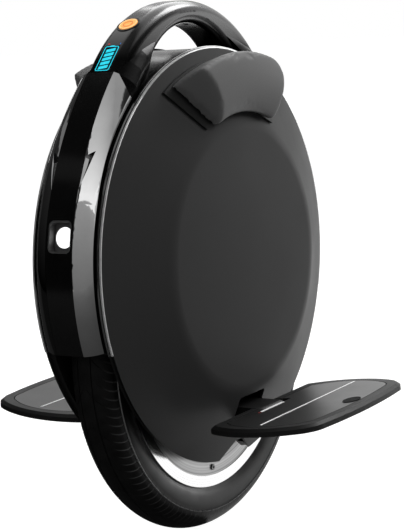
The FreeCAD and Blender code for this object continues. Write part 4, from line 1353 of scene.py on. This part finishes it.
@dataclass
class ButtonFace:
    """Raised rim and ring sign on the power button."""

    angle: float = 28.174
    rim_outer: float = 0.0098
    rim_inner: float = 0.0084
    sign_outer: float = 0.0056
    sign_inner: float = 0.0044
    rim_round: float = 0.0001
    height: float = 0.0003
    steps: int = 40

    def build(self, paint: Paint) -> None:
        """Models both rings and fits them to the button.

        Args:
            paint: Finishes of the machine.
        """
        patch = arch_patch("power_button", self.angle)
        rings = (("button_rim", self.rim_outer, self.rim_inner, self.rim_round, "button_peach"),
                 ("button_sign", self.sign_outer, self.sign_inner, 0.0, "button_amber"))
        for name, outer, inner, rounding, finish in rings:
            lines = [ellipse(radius, radius, self.steps) for radius in (outer, inner)]
            ring = ring_plate(name, patch, *lines, self.height)
            if rounding:
                soften(ring, rounding, 1)
            paint.fit(ring, finish, "power_button", "button_glow")


@dataclass(frozen=True)
class Bar:
    """Flat bar along a pedal: its reach from the pin, half its width, and its two ends."""

    reach: float
    half: float
    start: float
    end: float


@dataclass
class PedalTrim:
    """White lines, red marker and dark oval on a pedal's top."""

    side: Side
    pin: tuple[float, float, float] = (0.088, 0.0, 0.129)
    tilt: float = 5.1
    top: float = 0.0085
    line: Bar = Bar(0.0498, 0.0011, -0.101, 0.104)
    strip: Bar = Bar(0.0148, 0.0018, -0.04, 0.006)
    marker: Bar = Bar(0.0148, 0.0018, -0.046, -0.0415)
    oval_reach: float = 0.096
    oval_middle: float = 0.008
    oval_half: float = 0.0085
    oval_length: float = 0.013
    oval_height: float = 0.0006
    oval_steps: int = 36
    oval_rim: float = 0.0014
    oval_dish: float = 0.6
    oval_floor: float = 0.0016
    up_facing: float = 0.9
    smooth_angle: float = 20.0
    height: float = 0.00025

    def patch(self) -> Patch:
        """Finds the top of the pedal.

        Returns:
            Its patch, with the middle over the pin.
        """
        turn = math.radians(self.tilt)
        across = Vector((math.cos(turn), 0.0, math.sin(turn)))
        out = Vector((-math.sin(turn), 0.0, math.cos(turn)))
        return Patch(Vector(self.pin) + out * self.top, across, Vector((0.0, 1.0, 0.0)), out)

    def bar(self, name: str, bar: Bar) -> Piece:
        """Lays a bar with a slanted start on the pedal.

        Args:
            name: Name of the piece.
            bar: Form of the bar.

        Returns:
            The piece.
        """
        low, high = bar.reach - bar.half, bar.reach + bar.half
        corners = [(low, bar.start + bar.half), (high, bar.start - bar.half), (high, bar.end), (low, bar.end)]
        return sticker(name, self.patch(), corners, self.height)

    def oval(self) -> Piece:
        """Models the dished oval with its raised rim.

        Returns:
            The oval.
        """
        patch = self.patch()
        middle = Patch(patch.at(self.oval_reach, self.oval_middle), patch.across, patch.up, patch.out)
        ring = ellipse(self.oval_half, self.oval_length, self.oval_steps)
        piece = sticker("oval", middle, ring, self.oval_height)
        with editing(piece):
            choose(piece, Kind.FACE, lambda at, normal: normal.dot(patch.out) > self.up_facing)
            bpy.ops.mesh.inset(thickness=self.oval_rim)
            bpy.ops.transform.translate(value=patch.out * -self.oval_height * self.oval_dish)
            bpy.ops.mesh.inset(thickness=self.oval_floor)
        smooth(piece, self.smooth_angle)
        return piece

    def build(self, paint: Paint) -> None:
        """Models the trim and fits it to the pedal.

        Args:
            paint: Finishes of the machine.
        """
        # The white line and strip carry a painted glow.
        bars = (("line", self.line, "line_white_painted_glow"), ("strip", self.strip, "line_white_painted_glow"),
                ("marker", self.marker, "line_red"))
        pieces = [(self.bar(name, bar), finish) for name, bar, finish in bars]
        pieces.append((self.oval(), "recess_black"))
        for piece, finish in pieces:
            settle(rename(piece, f"{self.side.word}_pedal_{piece.name}"), self.side.flip)
            paint.fit(piece, finish, f"{self.side.word}_pedal", "grip_rubber")


# The studio


@dataclass(frozen=True)
class Card:
    """Studio card: its plan, its heights, and its levels at two places along an axis."""

    name: str
    plan: tuple[Pair, ...]
    heights: tuple[float, ...]
    axis: str
    span: Pair
    levels: Pair

    def corners(self) -> list[Vector]:
        """Stands a plan of two points up, and lays a longer one flat.

        Returns:
            Corners in order.
        """
        low, high = self.heights[0], self.heights[-1]
        foot = [Vector((x, y, low)) for x, y in self.plan]
        if len(self.plan) > 2:
            return foot
        return foot + [Vector((x, y, high)) for x, y in reversed(self.plan)]


FOOT = 0.002
ON_FLOOR = (0.003,)
OVERHEAD = (2.6,)

CARDS = (
    Card("left_wall", ((-3.1, 0.6), (-0.5, -2.4)), (FOOT, 4.2), "Z", (0.0, 4.0), (0.0, 0.05)),
    Card("left_band", ((-2.9, 0.5), (-0.6, -2.2)), (1.55, 1.85), "Z", (1.5, 1.9), (0.16, 0.16)),
    Card("left_back", ((-3.1, 0.6), (-3.1, 2.3)), (FOOT, 3), "Z", (0.0, 3.0), (0.02, 0.05)),
    Card("left_floor", ((-3.1, -0.3), (-0.3, -0.3), (-0.3, 0.3), (-1.4, 2.3), (-3.1, 2.3)),
         ON_FLOOR, "Y", (-0.3, 2.3), (0.01, 0.04)),
    Card("left_end", ((-3.1, 2.6), (-1.42, 2.6)), (FOOT, 0.9), "X", (-1.9, -1.45), (0.1, 0.62)),
    Card("front_wall", ((-0.5, -2.3), (3, -2.3)), (FOOT, 1.7), "Z", (0.0, 1.7), (0.16, 0.33)),
    Card("front_floor", ((-1.9, -2.3), (3, -2.3), (1.4, -0.3), (0.45, -0.12),
                         (0.06, -0.02), (-0.15, -0.02), (-0.2, -0.2)),
         ON_FLOOR, "Y", (-2.3, -0.4), (0.17, 0.04)),
    Card("left_front_floor", ((-3, -2.3), (-1.9, -2.3), (-0.2, -0.2), (-0.15, -0.02),
                              (-0.3, -0.02), (-0.31, -0.3), (-3, -0.3)),
         ON_FLOOR, "Y", (-2.3, -0.4), (0.004, 0.004)),
    Card("overhead", ((-0.6, -3.7), (3.2, -3.7), (3.2, -0.6), (-0.6, -0.6)),
         OVERHEAD, "Y", (-3.4, -0.6), (1.0, 0.32)),
    Card("overhead_back", ((-0.6, -0.6), (3.2, -0.6), (3.2, 0.6), (-0.6, 0.6)),
         OVERHEAD, "Y", (0.05, 0.3), (0.31, 0.03)),
    Card("left_high", ((-3.1, 2.3), (-1.1, 3.3)), (1.3, 3.6), "Z", (1.3, 3.6), (0.5, 0.4)),
    Card("back_right", ((0.5, 4.4), (2.95, 4.32)), (0.05, 1.3), "Z", (0.1, 1.3), (2.6, 1.4)),
    Card("back_high", ((-2.2, 2.7), (0.4, 2.7)), (2.05, 4.4), "Z", (2.2, 4.2), (4.5, 1.2)),
    Card("right_front", ((3, -2.3), (3, -0.7)), (FOOT, 3.2), "Z", (0.0, 1.6), (0.16, 0.5)),
    Card("right_wall", ((3, -0.7), (3, 4.3)), (FOOT, 3.2), "Z", (0.0, 1.5), (0.6, 0.02)),
    Card("right_near_floor", ((0.3, -0.3), (3, -0.3), (3, 0.95), (0.55, 0.95)),
         ON_FLOOR, "X", (0.3, 3.0), (0.08, 0.3)),
    Card("right_floor", ((0.55, 0.95), (3, 0.95), (3, 3.6), (1.6, 3.6)),
         ON_FLOOR, "Y", (0.95, 3.6), (0.4, 0.25)),
)


@dataclass(frozen=True)
class Lamp:
    """Soft square lamp: where it hangs, its side, its watts, and whether gloss shows it."""

    name: str
    place: tuple[float, float, float]
    size: float
    power: float
    mirrored: bool = False


LAMPS = (
    Lamp("key", (2.5, 1.1, 2.3), 1.4, 62.0),
    Lamp("far_key", (-2.6, 1.2, 1.6), 1.4, 52.0),
    Lamp("fill", (-0.6, -2.6, 1.4), 1.6, 13.0),
    Lamp("rim", (0.95, 2.35, 2.5), 1.15, 36.0, mirrored=True),
)


@dataclass
class Studio:
    """Pale floor, soft lamps, cards that the gloss mirrors, and the camera."""

    azimuth: float = 32.57
    elevation: float = 8.41
    roll: float = 3.7
    distance: float = 1.85515
    target: tuple[float, float, float] = (0.0156, 0.0, 0.28432)
    focal_pixels: float = 1735.68
    frame_pixels: float = 530.0
    sensor: float = 36.0
    world_soft: float = 0.18
    floor_pale: float = 0.26
    floor_glow: float = 0.98
    floor_rough: float = 0.9
    floor_size: float = 40.0
    floor_drop: float = 0.0002
    aim: tuple[float, float, float] = (0.0, 0.0, 0.3)
    clip: Pair = (0.05, 100.0)

    def world(self) -> None:
        """White surroundings, soft on the object."""
        nodes = Nodes(bpy.data.worlds.new("studio"), "Background")
        nodes.set(Color=WHITE, Strength=nodes.span(nodes.seen(), self.world_soft, 1.0, 0.0, 1.0))
        bpy.context.scene.world = nodes.owner

    def floor(self) -> None:
        """Pale floor that keeps the shadow."""
        floor = begin(Start.PLANE, "floor", size=self.floor_size, location=(0.0, 0.0, -self.floor_drop))
        nodes = Nodes(bpy.data.materials.new("floor"))
        glow = nodes.span(nodes.seen(), 0.0, self.floor_glow, 0.0, 1.0)
        nodes.set(Base_Color=(*[self.floor_pale] * 3, 1.0), Roughness=self.floor_rough,
                  Specular_IOR_Level=0.0, Emission_Color=WHITE, Emission_Strength=glow)
        floor.data.materials.append(nodes.owner)

    def card(self, card: Card) -> None:
        """Card that only mirrored rays see, shaded from one edge to the other.

        Args:
            card: Form of the card and its two levels.
        """
        piece = draw_line(card.name, card.corners())
        with editing(piece):
            pick_all()
            bpy.ops.mesh.edge_face_add()
        nodes = Nodes(bpy.data.materials.new(card.name))
        along = nodes.add("SeparateXYZ", card.axis, {"Vector": nodes.place()})
        nodes.set(Base_Color=BLACK, Emission_Color=WHITE, Specular_IOR_Level=0.0,
                  Emission_Strength=nodes.span(along, *card.levels, *card.span))
        piece.data.materials.append(nodes.owner)
        for ray in ("camera", "diffuse", "shadow", "transmission"):
            setattr(piece, f"visible_{ray}", False)

    def lamp(self, lamp: Lamp) -> None:
        """Hangs one lamp, facing the machine.

        Args:
            lamp: Place, size and power of the lamp.
        """
        data = bpy.data.lights.new(lamp.name, "AREA")
        data.size = lamp.size
        data.energy = lamp.power
        light = link(bpy.data.objects.new(lamp.name, data))
        light.visible_glossy = lamp.mirrored
        light.location = lamp.place
        light.rotation_mode = "QUATERNION"
        light.rotation_quaternion = (Vector(self.aim) - light.location).to_track_quat("-Z", "Y")

    def camera(self) -> None:
        """Camera at the photograph's place."""
        turn, rise, roll = (math.radians(value) for value in (self.azimuth, self.elevation, self.roll))
        back = Vector((math.sin(turn) * math.cos(rise), -math.cos(turn) * math.cos(rise), math.sin(rise)))
        right = Vector((math.cos(turn), math.sin(turn), 0.0))
        up = back.cross(right)
        right, up = right * math.cos(roll) - up * math.sin(roll), right * math.sin(roll) + up * math.cos(roll)
        data = bpy.data.cameras.new("camera")
        data.sensor_width = self.sensor
        data.lens = self.focal_pixels * self.sensor / self.frame_pixels
        data.clip_start, data.clip_end = self.clip
        camera = link(bpy.data.objects.new("camera", data))
        axes = Matrix((right, up, back)).transposed().to_4x4()
        camera.matrix_world = Matrix.Translation(Vector(self.target) + back * self.distance) @ axes
        bpy.context.scene.camera = camera

    def build(self) -> None:
        """Sets up the whole studio."""
        self.world()
        self.floor()
        for card in CARDS:
            self.card(card)
        for lamp in LAMPS:
            self.lamp(lamp)
        self.camera()
        bpy.context.scene.view_settings.view_transform = "Standard"


def main() -> None:
    """Builds every sub-assembly in order."""
    logging.basicConfig(level=logging.INFO, format="%(name)s: %(message)s")
    paint = Paint()
    paint.dress_nodes()
    Tyre().build(paint)
    MotorScrews().build(paint)
    for side in Side:
        SideCover(side).build(paint)
        LegPad(side).build(paint)
        PedalTrim(side).build(paint)
    ChargeDisplay().build(paint)
    ButtonFace().build(paint)
    Studio().build()


if __name__ == "__main__":
    main()
